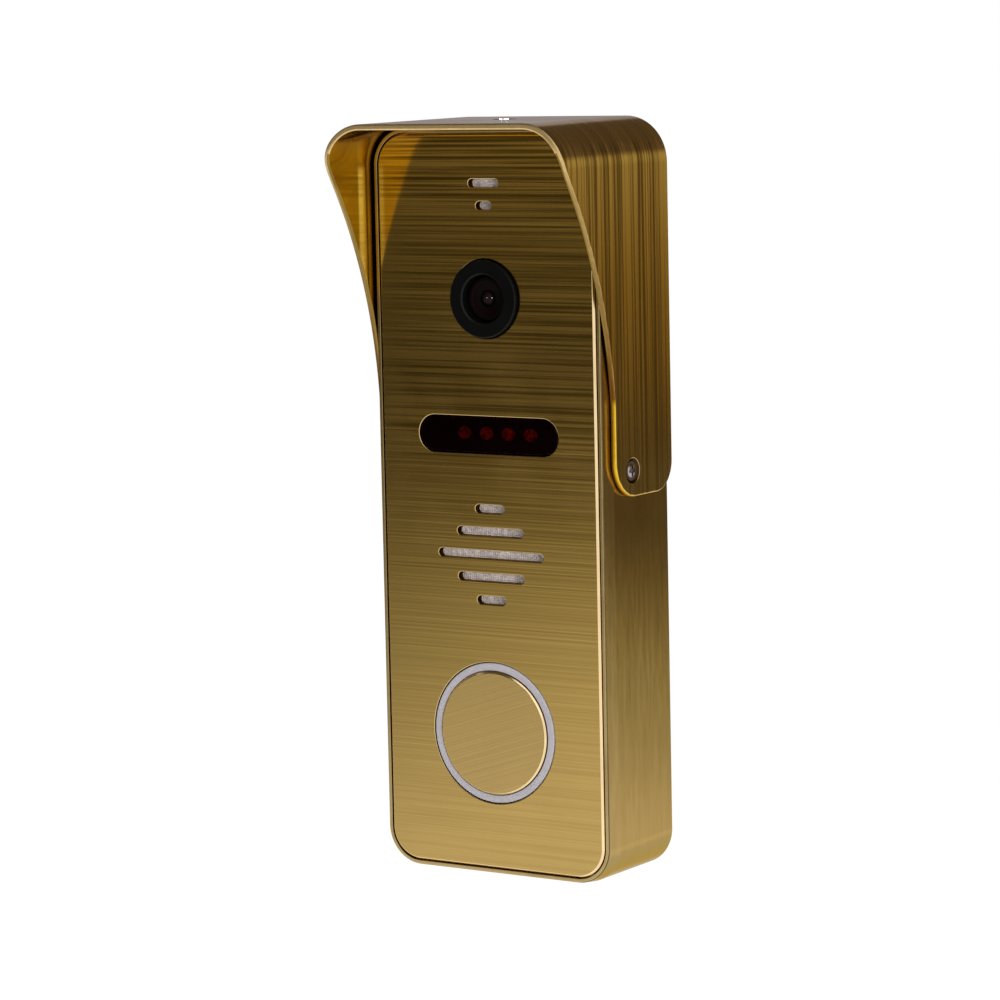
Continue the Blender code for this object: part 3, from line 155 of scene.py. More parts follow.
# Visor
VISOR_HALF = 26.3 * MM
VISOR_TOP = 71.6 * MM
VISOR_SHEET = 1.14 * MM
VISOR_BEND = 8.6 * MM
VISOR_BACK = -0.3 * MM
VISOR_FRONT = -20.45 * MM
VISOR_NOSE = -37.2 * MM
VISOR_BOTTOM = 1.9 * MM
VISOR_BACK_CORNER = 5.6 * MM
VISOR_FRONT_CORNER = 6.8 * MM
VISOR_SWEEP_Z = 19.1 * MM
VISOR_SWEEP_START = math.radians(4.4)
VISOR_SWEEP_RADIUS = 88.0 * MM
VISOR_NOSE_RADIUS = 14.0 * MM
VISOR_SLOPE = math.radians(31.8)
VISOR_EDGE = 0.3 * MM
VISOR_EDGE_SPLIT = 0.62 * MM
# Height below which the inner part of the visor's cut edge gets painted shade
VISOR_PAINTED_SHADE_TOP = 66 * MM
VISOR_FALL = 0.01
VISOR_FALL_INSIDE = (-23 * MM, -30 * MM)
TOP_RUN = VISOR_HALF - VISOR_BEND
BEND_RUN = VISOR_BEND * QUARTER
BEND_Z = VISOR_TOP - VISOR_BEND
BLANK_HALF = TOP_RUN + BEND_RUN + BEND_Z - VISOR_BOTTOM

# Screws: head diameter, shank diameter, length. The cross and the crown are shares of the head
VISOR_SCREW = (3.7 * MM, 2.2 * MM, 3.3 * MM)
COVER_SCREW = (4.4 * MM, 2.5 * MM, 6.5 * MM)
LOCK_SCREW = (3.8 * MM, 2.0 * MM, 4.2 * MM)
SCREW_TWIST = math.radians(20)
VISOR_SCREW_SINK = 0.3 * MM
VISOR_SCREW_CROWN = 0.28 * MM
VISOR_SCREW_SPOT = (-14.65 * MM, 6.7 * MM)
VISOR_TOP_SCREW_Y = -15.2 * MM
COLUMN_SPOT = (19.3 * MM, 63.8 * MM)
LOCK_SCREW_Y = -2.85 * MM
CROSS_ARM = 0.58
CROSS_WIDTH = 0.15
CROSS_DEPTH = 0.7 * MM
CROWN_WIDTH = 0.68

# Back
CABLE_Z = 20.0 * MM
CABLE_BORE = 3.5 * MM
CABLE_HOLE = 6.0 * MM
GROMMET_GROOVE = 5.7 * MM
GROMMET_LIP = 7.6 * MM
GROMMET_LIP_THICKNESS = 1.1 * MM
KEEPER_LIP = (-3.0 * MM, -1.8 * MM)
KEEPER_ROOT = (50.3 * MM, 51.8 * MM)
KEEPER_DROP = 2.7 * MM
BRACKET_HALF = 19.4 * MM
BRACKET_TOP = 60.2 * MM
BRACKET_BOTTOM = -68.9 * MM
BRACKET_RADIUS = 4.0 * MM
BRACKET_SHEET = 1.2 * MM
BRACKET_FRONT = -4.5 * MM
BRACKET_CABLE_HOLE = 8.5 * MM
WALL_SLOT = (9.0 * MM, 5.0 * MM)
WALL_SLOT_LEVELS = (36.0 * MM, -40.0 * MM)
TONGUE_X = 10.0 * MM
TONGUE_Z = 47.0 * MM
TONGUE_HALF = 3.5 * MM
TONGUE_RISE = 3.0 * MM
TONGUE_WINDOW = 7.5 * MM
LOCK_TAB_HALF = 6.0 * MM

# Studio
FLOOR_Z = -0.36
FLOOR_RADIUS = 14.0
FRONT_LEVELS = [
    (-0.36, (0.89, 0.88, 0.88)),
    (-0.30, (0.70, 0.685, 0.61)),
    (-0.245, (0.47, 0.455, 0.33)),
    (-0.176, (0.136, 0.101, 0.033)),
    (-0.113, (0.039, 0.031, 0.016)),
    (-0.096, (0.074, 0.065, 0.046)),
    (-0.06, (0.104, 0.091, 0.050)),
    (-0.02, (0.152, 0.124, 0.062)),
    (0.02, (0.146, 0.117, 0.053)),
    (1.60, (0.120, 0.095, 0.043)),
]
SIDE_LEVELS = [
    (-0.36, (0.38, 0.36, 0.36)),
    (-0.312, (0.58, 0.61, 0.49)),
    (-0.282, (0.505, 0.45, 0.30)),
    (-0.25, (0.207, 0.160, 0.074)),
    (-0.22, (0.054, 0.042, 0.024)),
    (-0.19, (0.034, 0.026, 0.016)),
    (-0.157, (0.068, 0.040, 0.008)),
    (-0.114, (0.198, 0.125, 0.031)),
    (-0.065, (0.205, 0.136, 0.031)),
    (-0.022, (0.316, 0.225, 0.073)),
    (0.014, (0.39, 0.32, 0.162)),
    (0.30, (0.45, 0.38, 0.19)),
    (0.40, (0.33, 0.25, 0.13)),
    (0.50, (0.133, 0.098, 0.066)),
    (1.60, (0.128, 0.095, 0.064)),
]


# Outlines, each a list of points across and up


def arc(middle, radius, first, last, steps):
    points = []
    for i in range(steps + 1):
        angle = first + (last - first) * i / steps
        points.append((middle[0] + radius * math.cos(angle), middle[1] + radius * math.sin(angle)))
    return points


def circle(radius, steps=TURN_STEPS):
    angles = [math.tau * i / steps for i in range(steps)]
    return [(radius * math.cos(angle), radius * math.sin(angle)) for angle in angles]


def rounded_rectangle(width, height, radius, steps=CORNER_STEPS):
    points = []
    for corner, (side, level) in enumerate(((1, 1), (-1, 1), (-1, -1), (1, -1))):
        middle = (side * (width / 2 - radius), level * (height / 2 - radius))
        points += arc(middle, radius, corner * QUARTER, (corner + 1) * QUARTER, steps)
    return points


def slot_outline(width, height, steps=SLOT_STEPS):
    run, radius = (width - height) / 2, height / 2
    right = arc((run, 0.0), radius, -QUARTER, QUARTER, steps)
    return right + arc((-run, 0.0), radius, QUARTER, 3 * QUARTER, steps)


def panel_outline(offset):
    return rounded_rectangle(PLATE_WIDTH + 2 * offset, PLATE_HEIGHT + 2 * offset, PLATE_RADIUS + offset)


def at(outline, y, middle=(0.0, 0.0)):
    return [(x + middle[0], y, z + middle[1]) for x, z in outline]


def softened(profile, closed=False):
    """The profile with a fillet at each point that has a third value, its radius."""
    count = len(profile)
    points = []
    for i, point in enumerate(profile):
        here = Vector(point[:2])
        if len(point) < 3 or not closed and i in (0, count - 1):
            points.append(tuple(here))
            continue
        before = (Vector(profile[i - 1][:2]) - here).normalized()
        after = (Vector(profile[(i + 1) % count][:2]) - here).normalized()
        half = before.angle(after) / 2
        reach = point[2] / math.tan(half)
        middle = here + (before + after).normalized() * (point[2] / math.sin(half))
        start = here + before * reach - middle
        finish = here + after * reach - middle
        for step in range(FILLET_STEPS + 1):
            spoke = start.lerp(finish, step / FILLET_STEPS).normalized() * point[2]
            points.append(tuple(middle + spoke))
    return points


def countersink(screw, wall, sink=0.0):
    """The rings of a screw's hole from the outside in, each an outline and its depth."""
    mouth, hole = screw[0] / 2 + CLEARANCE + sink, screw[1] / 2 + CLEARANCE
    steps = ((mouth + OVERCUT, -OVERCUT), (hole, mouth - hole), (hole, wall + OVERLAP))
    return [(circle(radius, SCREW_STEPS), depth) for radius, depth in steps]


# Meshes


def skin(bm, loops, closed=False):
    """Faces from loop to loop. A loop may be a single point."""
    count = max(map(len, loops))
    for low, high in zip(loops, loops[1:] + (loops[:1] if closed else [])):
        for i in range(count):
            j = (i + 1) % count
            corners = (low[i % len(low)], low[j % len(low)], high[j % len(high)], high[i % len(high)])
            bm.faces.new(list(dict.fromkeys(corners)))


def loft(bm, rings):
    """A skin over rings of equal length, capped at both ends."""
    loops = [[bm.verts.new(point) for point in ring] for ring in rings]
    bm.faces.new(loops[0])
    bm.faces.new(loops[-1])
    skin(bm, loops)


def turn(bm, profile, middle, closed=False):
    """A profile of (radius, y) turned about the Y direction, with a single point where it meets the axis."""
    loops = []
    for radius, y in profile:
        ring = at(circle(radius), y, middle) if radius > 0.0 else [(middle[0], y, middle[1])]
        loops.append([bm.verts.new(point) for point in ring])
    skin(bm, loops, closed)


def holed_face(bm, loops):
    """One flat face between an outer loop of vertices and the loops of its holes."""
    edges = []
    for loop in loops:
        for i, vertex in enumerate(loop):
            other = loop[(i + 1) % len(loop)]
            edges.append(bm.edges.get((vertex, other)) or bm.edges.new((vertex, other)))
    bmesh.ops.triangle_fill(bm, use_beauty=True, use_dissolve=False, edges=edges)


def box(bm, low, high):
    (x0, y0, z0), (x1, y1, z1) = low, high
    loft(bm, [[(x0, y, z0), (x1, y, z0), (x1, y, z1), (x0, y, z1)] for y in (y0, y1)])


def tongue_pair(bm, outline):
    """An outline of (y, z) drawn out to the width of the bracket's tongues, at both of them."""
    for side in SIDES:
        ends = (side * TONGUE_X - TONGUE_HALF, side * TONGUE_X + TONGUE_HALF)
        loft(bm, [[(x, y, z) for y, z in outline] for x in ends])


def put(name, data):
    piece = bpy.data.objects.new(name, data)
    bpy.context.scene.collection.objects.link(piece)
    return piece


def made(name, bm):
    bmesh.ops.remove_doubles(bm, verts=bm.verts, dist=1e-7)
    bmesh.ops.recalc_face_normals(bm, faces=bm.faces)
    mesh = bpy.data.meshes.new(name)
    bm.to_mesh(mesh)
    bm.free()
    return put(name, mesh)


def lofted(name, rings):
    bm = bmesh.new()
    loft(bm, rings)
    return made(name, bm)


def turned_piece(name, profile, middle, closed=False):
    bm = bmesh.new()
    turn(bm, softened(profile, closed), middle, closed)
    return made(name, bm)


def settle(piece):
    """Replaces the mesh by what its modifiers make of it, and removes them."""
    bpy.context.view_layer.update()
    graph = bpy.context.evaluated_depsgraph_get()
    mesh = bpy.data.meshes.new_from_object(piece.evaluated_get(graph))
    piece.modifiers.clear()
    old = piece.data
    piece.data = mesh
    bpy.data.meshes.remove(old)


def modified(piece, kind, **settings):
    modifier = piece.modifiers.new(kind.lower(), kind)
    for name, value in settings.items():
        setattr(modifier, name, value)
    settle(piece)


def cut(piece, bm, operation="DIFFERENCE"):
    """A Boolean with a helper mesh, applied at once."""
    tool = made(piece.name + "_tool", bm)
    modified(piece, "BOOLEAN", operation=operation, solver="EXACT", object=tool)
    bpy.data.objects.remove(tool, do_unlink=True)


def ease_edges(piece, width, segments=2):
    modified(piece, "BEVEL", width=width, segments=segments, limit_method="ANGLE", angle_limit=EASED_ANGLE)


def part_flat_faces(mesh):
    """Marks the border of the flat fronts and backs as sharp, so that their shading stays even."""
    sides = {}
    for face in mesh.polygons:
        for key in face.edge_keys:
            sides.setdefault(key, set()).add(abs(face.normal.y) > 0.99999)
    for edge in mesh.edges:
        if len(sides.get(edge.key, ())) > 1:
            edge.use_edge_sharp = True


def finish(piece, slot, nodes, materials, rule=None, body="panel"):
    """Smooth shading with flat faces kept flat, a material for each face, and the tie to the frame."""
    piece.data.shade_smooth()
    piece.data.set_sharp_from_angle(angle=SMOOTH_ANGLE)
    part_flat_faces(piece.data)
    modified(piece, "WEIGHTED_NORMAL", weight=100, keep_sharp=True)
    mesh = piece.data
    mesh.name = piece.name
    mesh.materials.clear()
    for material in materials:
        mesh.materials.append(material)
    for face in mesh.polygons:
        face.material_index = rule(face) if rule else 0
    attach(piece, body)
    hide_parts(*nodes)
    return piece


# Node trees

FLOAT, VECTOR = "NodeSocketFloat", "NodeSocketVector"
GEOMETRY, FINISH = "NodeSocketGeometry", "NodeSocketMaterial"
SOCKET_KINDS = {float: FLOAT, int: "NodeSocketInt", tuple: VECTOR}
SHADE_AND_HEIGHT = {"Shade": FLOAT, "Height": FLOAT}


class Nodes:
    """Short calls that build a node tree. A socket given as an input is linked, any other value is set."""

    def __init__(self, tree, material=None):
        self.tree = tree
        self.material = material

    def feed(self, node, inputs):
        for key, value in inputs.items():
            socket = node.inputs[key]
            if isinstance(value, bpy.types.NodeSocket):
                self.tree.links.new(value, socket)
            else:
                socket.default_value = (*value, 1.0) if socket.type == "RGBA" else value

    def add(self, kind, inputs=None, **settings):
        node = self.tree.nodes.new(kind)
        for name, value in settings.items():
            setattr(node, name, value)
        self.feed(node, inputs or {})
        return node

    def out(self, kind, inputs=None, **settings):
        return self.add(kind, inputs, **settings).outputs[0]

    def calc(self, operation, *values):
        return self.out("ShaderNodeMath", dict(enumerate(values)), operation=operation)

    def times(self, first, second):
        return self.calc("MULTIPLY", first, second)

    def over(self, first, second):
        return self.calc("DIVIDE", first, second)

    def less(self, first, second):
        return self.calc("SUBTRACT", first, second)

    def shares(self, first, part, second, rest):
        return self.calc("MULTIPLY_ADD", first, part, self.times(second, rest))

    def ramp(self, value, low=0.0, high=1.0, start=0.0, end=1.0):
        inputs = {"Value": value, "From Min": low, "From Max": high, "To Min": start, "To Max": end}
        return self.out("ShaderNodeMapRange", inputs)

    def blend(self, share, first, second, mode="MIX"):
        inputs = {0: share, 6: first, 7: second}
        return self.add("ShaderNodeMix", inputs, data_type="RGBA", blend_type=mode).outputs[2]

    def noise(self, vector, scale, detail=2.0, roughness=0.5):
        inputs = {"Vector": vector, "Scale": scale, "Detail": detail, "Roughness": roughness}
        return self.out("ShaderNodeTexNoise", inputs)

    def join(self, **parts):
        return self.out("ShaderNodeCombineXYZ", parts)

    def split(self, vector):
        return self.add("ShaderNodeSeparateXYZ", {0: vector}).outputs

    def place(self):
        return self.add("ShaderNodeTexCoord").outputs["Object"]

    def by_height(self, levels):
        """A colour that runs through (z, colour) levels, from the lowest to the highest."""
        low, high = levels[0][0], levels[-1][0]
        shades = self.add("ShaderNodeValToRGB", {0: self.ramp(self.split(self.place())["Z"], low, high)})
        stops = shades.color_ramp.elements
        while len(stops) > 1:
            stops.remove(stops[0])
        for i, (level, shade) in enumerate(levels):
            stop = stops.new((level - low) / (high - low)) if i else stops[0]
            stop.position = (level - low) / (high - low)
            stop.color = (*shade, 1.0)
        return shades.outputs[0]

    def group(self, shared, place=None, **inputs):
        given = {"Coordinates": place or self.place(), **inputs}
        return self.add("ShaderNodeGroup", given, node_tree=shared).outputs

    def grain(self, size, place=None):
        return self.group(MOULDED_GRAIN, place, Grain=size)

    def marks(self, size, place=None):
        return self.group(TOUCH_MARKS, place, Size=size)["Mask"]

    def bump(self, height, strength, distance=0.03 * MM):
        return self.out("ShaderNodeBump", {"Height": height, "Strength": strength, "Distance": distance})

    def surface(self, **sockets):
        names = [name.replace("_", " ").title().replace("Ior", "IOR") for name in sockets]
        self.feed(self.tree.nodes["Principled BSDF"], dict(zip(names, sockets.values())))
        return self.material

    def move(self, mesh, **change):
        """A geometry after a Translation or a Scale."""
        return self.out("GeometryNodeTransform", {"Geometry": mesh, **change})

    def painted(self, mesh, material):
        return self.out("GeometryNodeSetMaterial", {"Geometry": mesh, "Material": material})

    def real(self, copies):
        return self.out("GeometryNodeRealizeInstances", {"Geometry": copies})


def group_tree(name, kind, inputs, outputs):
    """A node group. Each named input has a default value, or a socket type where there is none to give."""
    tree = bpy.data.node_groups.new(name, kind)
    for label, value in inputs.items():
        bare = isinstance(value, str)
        socket = value if bare else SOCKET_KINDS[type(value)]
        given = tree.interface.new_socket(name=label, in_out="INPUT", socket_type=socket)
        if not bare:
            given.default_value = value
    for label, socket in outputs.items():
        tree.interface.new_socket(name=label, in_out="OUTPUT", socket_type=socket)
    n = Nodes(tree)
    return n, n.add("NodeGroupInput").outputs, n.add("NodeGroupOutput").inputs


def brushed_grain_group():
    """Long fine lines. Scale is lines per metre along each axis: few along the brushing, many across."""
    inputs = {"Coordinates": VECTOR, "Scale": (40.0, 40.0, 2000.0), "Contrast": 1.0}
    n, given, result = group_tree("brushed_grain", "ShaderNodeTree", inputs, SHADE_AND_HEIGHT)
    vectors = {0: given["Coordinates"], 1: given["Scale"]}
    stretched = n.out("ShaderNodeVectorMath", vectors, operation="MULTIPLY")
    broad = n.noise(stretched, 0.35, 1.0)
    lines = n.noise(stretched, 1.0, 1.0)
    hairs = n.noise(stretched, 3.1, 2.0, 0.6)
    relief = n.shares(broad, 0.3, lines, 0.7)
    strength = n.times(given["Contrast"], 3.2)
    swing = n.less(n.shares(relief, 0.7, hairs, 0.3), 0.5)
    n.tree.links.new(n.ramp(n.calc("MULTIPLY_ADD", swing, strength, 0.5)), result["Shade"])
    n.tree.links.new(relief, result["Height"])
    return n.tree


def moulded_grain_group():
    """Soft mottling and a fine spark-eroded grain, for moulded and rubber pieces."""
    inputs = {"Coordinates": VECTOR, "Grain": 4000.0}
    n, given, result = group_tree("moulded_grain", "ShaderNodeTree", inputs, SHADE_AND_HEIGHT)
    broad = n.noise(given["Coordinates"], 90.0, 3.0)
    fine = n.noise(given["Coordinates"], given["Grain"], 2.0, 0.6)
    n.tree.links.new(n.ramp(n.shares(broad, 0.6, fine, 0.4), 0.3, 0.7), result["Shade"])
    n.tree.links.new(fine, result["Height"])
    return n.tree


def touch_marks_group():
    """Faint cloudy marks of handling, as a mask that changes gloss a little."""
    inputs = {"Coordinates": VECTOR, "Size": 70.0}
    n, given, result = group_tree("touch_marks", "ShaderNodeTree", inputs, {"Mask": FLOAT})
    clouds = n.noise(given["Coordinates"], given["Size"], 4.0, 0.55)
    n.tree.links.new(n.ramp(clouds, 0.45, 0.75), result["Mask"])
    return n.tree


BRUSHED_GRAIN = brushed_grain_group()
MOULDED_GRAIN = moulded_grain_group()
TOUCH_MARKS = touch_marks_group()


# Finishes

GRAZING_GOLD = (0.85, 0.66, 0.36)
STRONGEST_CONTRAST = 4.0
# Where the painted highlight band on the visor's inside begins and where it is full, at its front, back and
# top
HIGHLIGHT_BAND_FRONT_Y = (-27.4 * MM, -26.8 * MM)
HIGHLIGHT_BAND_BACK_Y = (-24.6 * MM, -25.1 * MM)
HIGHLIGHT_BAND_TOP_Z = (63.5 * MM, 62.0 * MM)


def new_material(name, bare=False):
    material = bpy.data.materials.new(name)
    material.use_nodes = True
    if bare:
        material.node_tree.nodes.clear()
    return Nodes(material.node_tree, material)


def brushed_gold(
    name, dark, light, scale, contrast, roughness, relief,
    across=False, about=None, calm=None, tint=GRAZING_GOLD,
):
    """Anodised brushed metal. Across is true where the highlight spreads at a right angle to the lines.

    Contrast is a number or a list of (z, number) levels, and relief is the depth of the lines in metres.
    About is a point and the turn of the lines about it. Calm is a ramp along X (from, to, share, share)
    that eases the contrast.
    """
    n = new_material(name)
    place = n.place()
    if about:
        moved = n.out("ShaderNodeMapping", {"Vector": place, "Location": [-v for v in about[0]]})
        place = n.out("ShaderNodeMapping", {"Vector": moved, "Rotation": about[1]})
    # Contrast by height and calm along X set how strongly the streaks show: partly real grain, partly
    # painted light
    if isinstance(contrast, list):
        shades = n.by_height([(level, (value / STRONGEST_CONTRAST,) * 3) for level, value in contrast])
        contrast = n.times(shades, STRONGEST_CONTRAST)
    if calm:
        contrast = n.times(contrast, n.ramp(n.split(place)["X"], *calm))
    grain = n.group(BRUSHED_GRAIN, place, Scale=scale, Contrast=contrast)
    gloss = n.ramp(grain["Shade"], 0.0, 1.0, *roughness)
    return n.surface(
        base_color=n.blend(grain["Shade"], dark, light),
        roughness=n.calc("MULTIPLY_ADD", n.marks(60.0, place), 0.03, gloss),
        normal=n.bump(grain["Height"], 1.0, relief),
        metallic=1.0,
        anisotropic=0.4,
        anisotropic_rotation=0.25 if across else 0.0,
        specular_tint=tint,
    )


def polished_gold(name, dark, light, roughness):
    """Cut edges and plain bends, with only a faint cloudiness."""
    n = new_material(name)
    marks = n.marks(160.0)
    gloss = n.ramp(marks, 0.0, 1.0, *roughness)
    return n.surface(
        base_color=n.blend(marks, light, dark), roughness=gloss, metallic=1.0, specular_tint=GRAZING_GOLD
    )


def painted_band_gold(name, dark, light, roughness):
    """The visor's inside, with a painted highlight: a bright upright band next to the housing, stronger for
    camera rays.
    """
    n = new_material(name)
    place = n.place()
    marks = n.marks(160.0, place)
    spot = n.split(place)
    front = n.ramp(spot["Y"], *HIGHLIGHT_BAND_FRONT_Y)
    back = n.ramp(spot["Y"], *HIGHLIGHT_BAND_BACK_Y)
    below = n.ramp(spot["Z"], *HIGHLIGHT_BAND_TOP_Z)
    # Painted highlight: the band shows in full to the camera and at about a third in reflections
    seen = n.ramp(n.add("ShaderNodeLightPath").outputs["Is Camera Ray"], 0.0, 1.0, 0.35, 1.0)
    highlight_share = n.times(n.times(n.times(front, back), below), seen)
    colour = n.blend(highlight_share, n.blend(marks, light, dark), (1.0, 0.88, 0.30))
    return n.surface(base_color=colour, roughness=n.ramp(marks, 0.0, 1.0, *roughness), metallic=1.0)


def painted_light_edge_gold(name, levels, roughness):
    """A sawn and brushed edge: grainy, with painted light and shade in its colour, set by height."""
    n = new_material(name)
    grain = n.grain(1300.0)
    painted_tone = n.by_height(levels)
    dark = n.blend(1.0, painted_tone, (0.7, 0.66, 0.6), "MULTIPLY")
    return n.surface(
        base_color=n.blend(grain["Shade"], dark, painted_tone),
        roughness=n.ramp(grain["Shade"], 0.0, 1.0, *roughness),
        normal=n.bump(grain["Height"], 0.3),
        metallic=1.0,
    )


def moulded(name, dark, light, roughness, size=4000.0, relief=0.15, **sockets):
    n = new_material(name)
    grain = n.grain(size)
    return n.surface(
        base_color=n.blend(grain["Shade"], dark, light),
        roughness=n.ramp(grain["Shade"], 0.0, 1.0, *roughness),
        normal=n.bump(grain["Height"], relief),
        **sockets,
    )


def zinc_spangle(name):
    n = new_material(name)
    place = n.place()
    cells = n.add("ShaderNodeTexVoronoi", {"Vector": place, "Scale": 260.0}).outputs["Color"]
    grain = n.grain(2500.0, place)
    shade = n.shares(n.out("ShaderNodeSeparateColor", {0: cells}), 0.6, grain["Shade"], 0.4)
    return n.surface(
        base_color=n.blend(shade, (0.36, 0.37, 0.38), (0.62, 0.63, 0.64)),
        roughness=n.ramp(shade, 0.0, 1.0, 0.42, 0.28),
        normal=n.bump(grain["Height"], 0.1),
        metallic=1.0,
    )


def circuit_board(name):
    n = new_material(name)
    place = n.place()
    flat = n.out("ShaderNodeMapping", {"Vector": place, "Scale": (1.0, 0.0, 1.0)})
    kinds = {"distance": "CHEBYCHEV", "feature": "DISTANCE_TO_EDGE"}
    cells = n.add("ShaderNodeTexVoronoi", {"Vector": flat, "Scale": 420.0}, **kinds).outputs["Distance"]
    tracks = n.ramp(cells, 0.04, 0.09)
    grain = n.grain(3000.0, place)
    green = n.blend(grain["Shade"], (0.01, 0.09, 0.04), (0.02, 0.15, 0.07))
    return n.surface(
        base_color=n.blend(tracks, (0.05, 0.24, 0.10), green),
        roughness=n.ramp(grain["Shade"], 0.0, 1.0, 0.3, 0.45),
        normal=n.bump(tracks, 0.15),
    )


def cloth_thread(name):
    n = new_material(name)
    place = n.place()
    fibre = n.noise(place, 9000.0)
    shade = n.ramp(n.shares(fibre, 0.5, n.noise(place, 1400.0), 0.5), 0.36, 0.64)
    colour = n.blend(shade, (0.50, 0.40, 0.37), (0.98, 0.87, 0.82))
    return n.surface(base_color=colour, normal=n.bump(fibre, 0.4, 0.02 * MM), roughness=0.75)


def lens_glass(name):
    n = new_material(name)
    dust = n.marks(900.0)
    return n.surface(
        base_color=n.blend(dust, (0.002, 0.001, 0.001), (0.004, 0.002, 0.002)),
        roughness=n.ramp(dust, 0.0, 1.0, 0.01, 0.05),
        ior=1.52,
        specular_ior_level=0.06,
    )


def red_window(name):
    n = new_material(name)
    shade = n.grain(1500.0)["Shade"]
    return n.surface(
        base_color=n.blend(shade, (0.018, 0.0004, 0.0005), (0.034, 0.0008, 0.001)),
        roughness=n.ramp(shade, 0.0, 1.0, 0.03, 0.08),
        transmission_weight=1.0,
        ior=1.46,
        specular_ior_level=0.015,
        specular_tint=(0.45, 0.15, 0.4),
    )


def lamp_face(name):
    """The lamps' clear domes over a small lit chip, seen as a dull red through the window."""
    n = new_material(name)
    place = n.place()
    blotches = n.ramp(n.noise(place, 1500.0, 3.0, 0.7), 0.38, 0.68)
    return n.surface(
        base_color=n.blend(n.grain(2200.0, place)["Shade"], (0.35, 0.05, 0.04), (0.6, 0.12, 0.08)),
        emission_color=n.blend(blotches, (0.03, 0.002, 0.001), (2.2, 0.10, 0.06)),
        roughness=0.3,
        emission_strength=1.0,
    )


# Lines per metre along X, Y and Z, contrasts as (z, value) levels, and the visor edge's painted light and
# shade as (z, colour) levels
GRAIN_ACROSS_PLATE = (13.0, 13.0, 2300.0)
GRAIN_ROUND_VISOR = (7.0, 1300.0, 7.0)
GRAIN_DOWN_HOUSING = (1100.0, 1100.0, 110.0)
# The contrasts by height are partly real grain and partly painted light: streaks strong where reflections
# show them, faint elsewhere, as on the lower plate, the housing's foot and the visor's top
PLATE_CONTRAST = [
    (-0.045, 0.16), (-0.015, 0.18), (0.0, 0.6), (0.02, 2.4), (0.03, 1.7), (0.05, 1.2), (0.064, 2.6),
]
HOUSING_CONTRAST = [(-0.0704, 0.1), (-0.062, 0.3), (-0.04, 0.6), (-0.02, 1.2), (0.0, 2.0), (0.07, 2.0)]
VISOR_CONTRAST = [
    (0.0, 2.2), (0.02, 2.5), (0.035, 2.9), (0.060, 3.6), (0.0655, 2.6), (0.0675, 0.5), (0.072, 0.4),
]
# Painted light and shade along the visor's edge: bright at the foot, dark above it, lighter towards the top
VISOR_EDGE_PAINTED_LIGHT = [
    (0.0015, (0.95, 0.60, 0.04)),
    (0.0190, (0.95, 0.60, 0.04)),
    (0.0205, (0.26, 0.10, 0.012)),
    (0.0300, (0.30, 0.16, 0.04)),
    (0.0420, (0.37, 0.24, 0.08)),
    (0.0580, (0.47, 0.32, 0.115)),
    (0.0660, (0.86, 0.63, 0.29)),
    (0.0720, (0.84, 0.64, 0.33)),
]

PLATE_GOLD = brushed_gold(
    "plate_brushed_gold",
    (0.22, 0.14, 0.032),
    (0.78, 0.54, 0.19),
    GRAIN_ACROSS_PLATE,
    PLATE_CONTRAST,
    (0.15, 0.11),
    0.007 * MM,
    across=True,
    # Calm: painted light, the plate's streaks eased near its left edge
    calm=(-23 * MM, -16 * MM, 0.35, 1.0),
)
VISOR_GOLD = brushed_gold(
    "visor_brushed_gold",
    (0.23, 0.145, 0.036),
    (0.72, 0.51, 0.185),
    GRAIN_ROUND_VISOR,
    VISOR_CONTRAST,
    (0.24, 0.16),
    0.04 * MM,
    tint=(0.94, 0.88, 0.80),
)
HOUSING_GOLD = brushed_gold(
    "housing_satin_gold",
    (0.38, 0.255, 0.092),
    (0.55, 0.385, 0.155),
    GRAIN_DOWN_HOUSING,
    HOUSING_CONTRAST,
    (0.20, 0.16),
    0.003 * MM,
)
DISC_GOLD = brushed_gold(
    "disc_brushed_gold",
    (0.52, 0.36, 0.128),
    (0.66, 0.46, 0.18),
    GRAIN_ACROSS_PLATE,
    0.45,
    (0.26, 0.22),
    0.01 * MM,
    across=True,
    about=((0.0, FACE, BUTTON_Z), (0.0, math.radians(18), 0.0)),
)
CHAMFER_GOLD = polished_gold("chamfer_gold", (0.80, 0.60, 0.33), (0.90, 0.68, 0.38), (0.16, 0.26))
HOLE_EDGE_GOLD = polished_gold("hole_edge_gold", (0.52, 0.38, 0.15), (0.62, 0.46, 0.20), (0.18, 0.28))
# Painted shade on the housing rim's right-hand fillets
RIM_PAINTED_SHADE = polished_gold("rim_painted_shade_gold", (0.13, 0.09, 0.038), (0.18, 0.125, 0.052), (0.22, 0.32))
# Painted shade on the inner part of the visor's cut edge
EDGE_PAINTED_SHADE = polished_gold("edge_painted_shade_gold", (0.20, 0.13, 0.030), (0.27, 0.18, 0.045), (0.26, 0.36))
RIM_GOLD = polished_gold("rim_gold", (0.42, 0.30, 0.13), (0.50, 0.37, 0.17), (0.22, 0.32))
# EDGE_GOLD: the visor's cut edge, with painted light and shade by height
EDGE_GOLD = painted_light_edge_gold("painted_light_edge_gold", VISOR_EDGE_PAINTED_LIGHT, (0.50, 0.36))
# INNER_GOLD carries the painted highlight band on the visor's inside
INNER_GOLD = painted_band_gold("visor_inner_gold_painted_band", (0.38, 0.22, 0.002), (0.44, 0.26, 0.003), (0.16, 0.24))
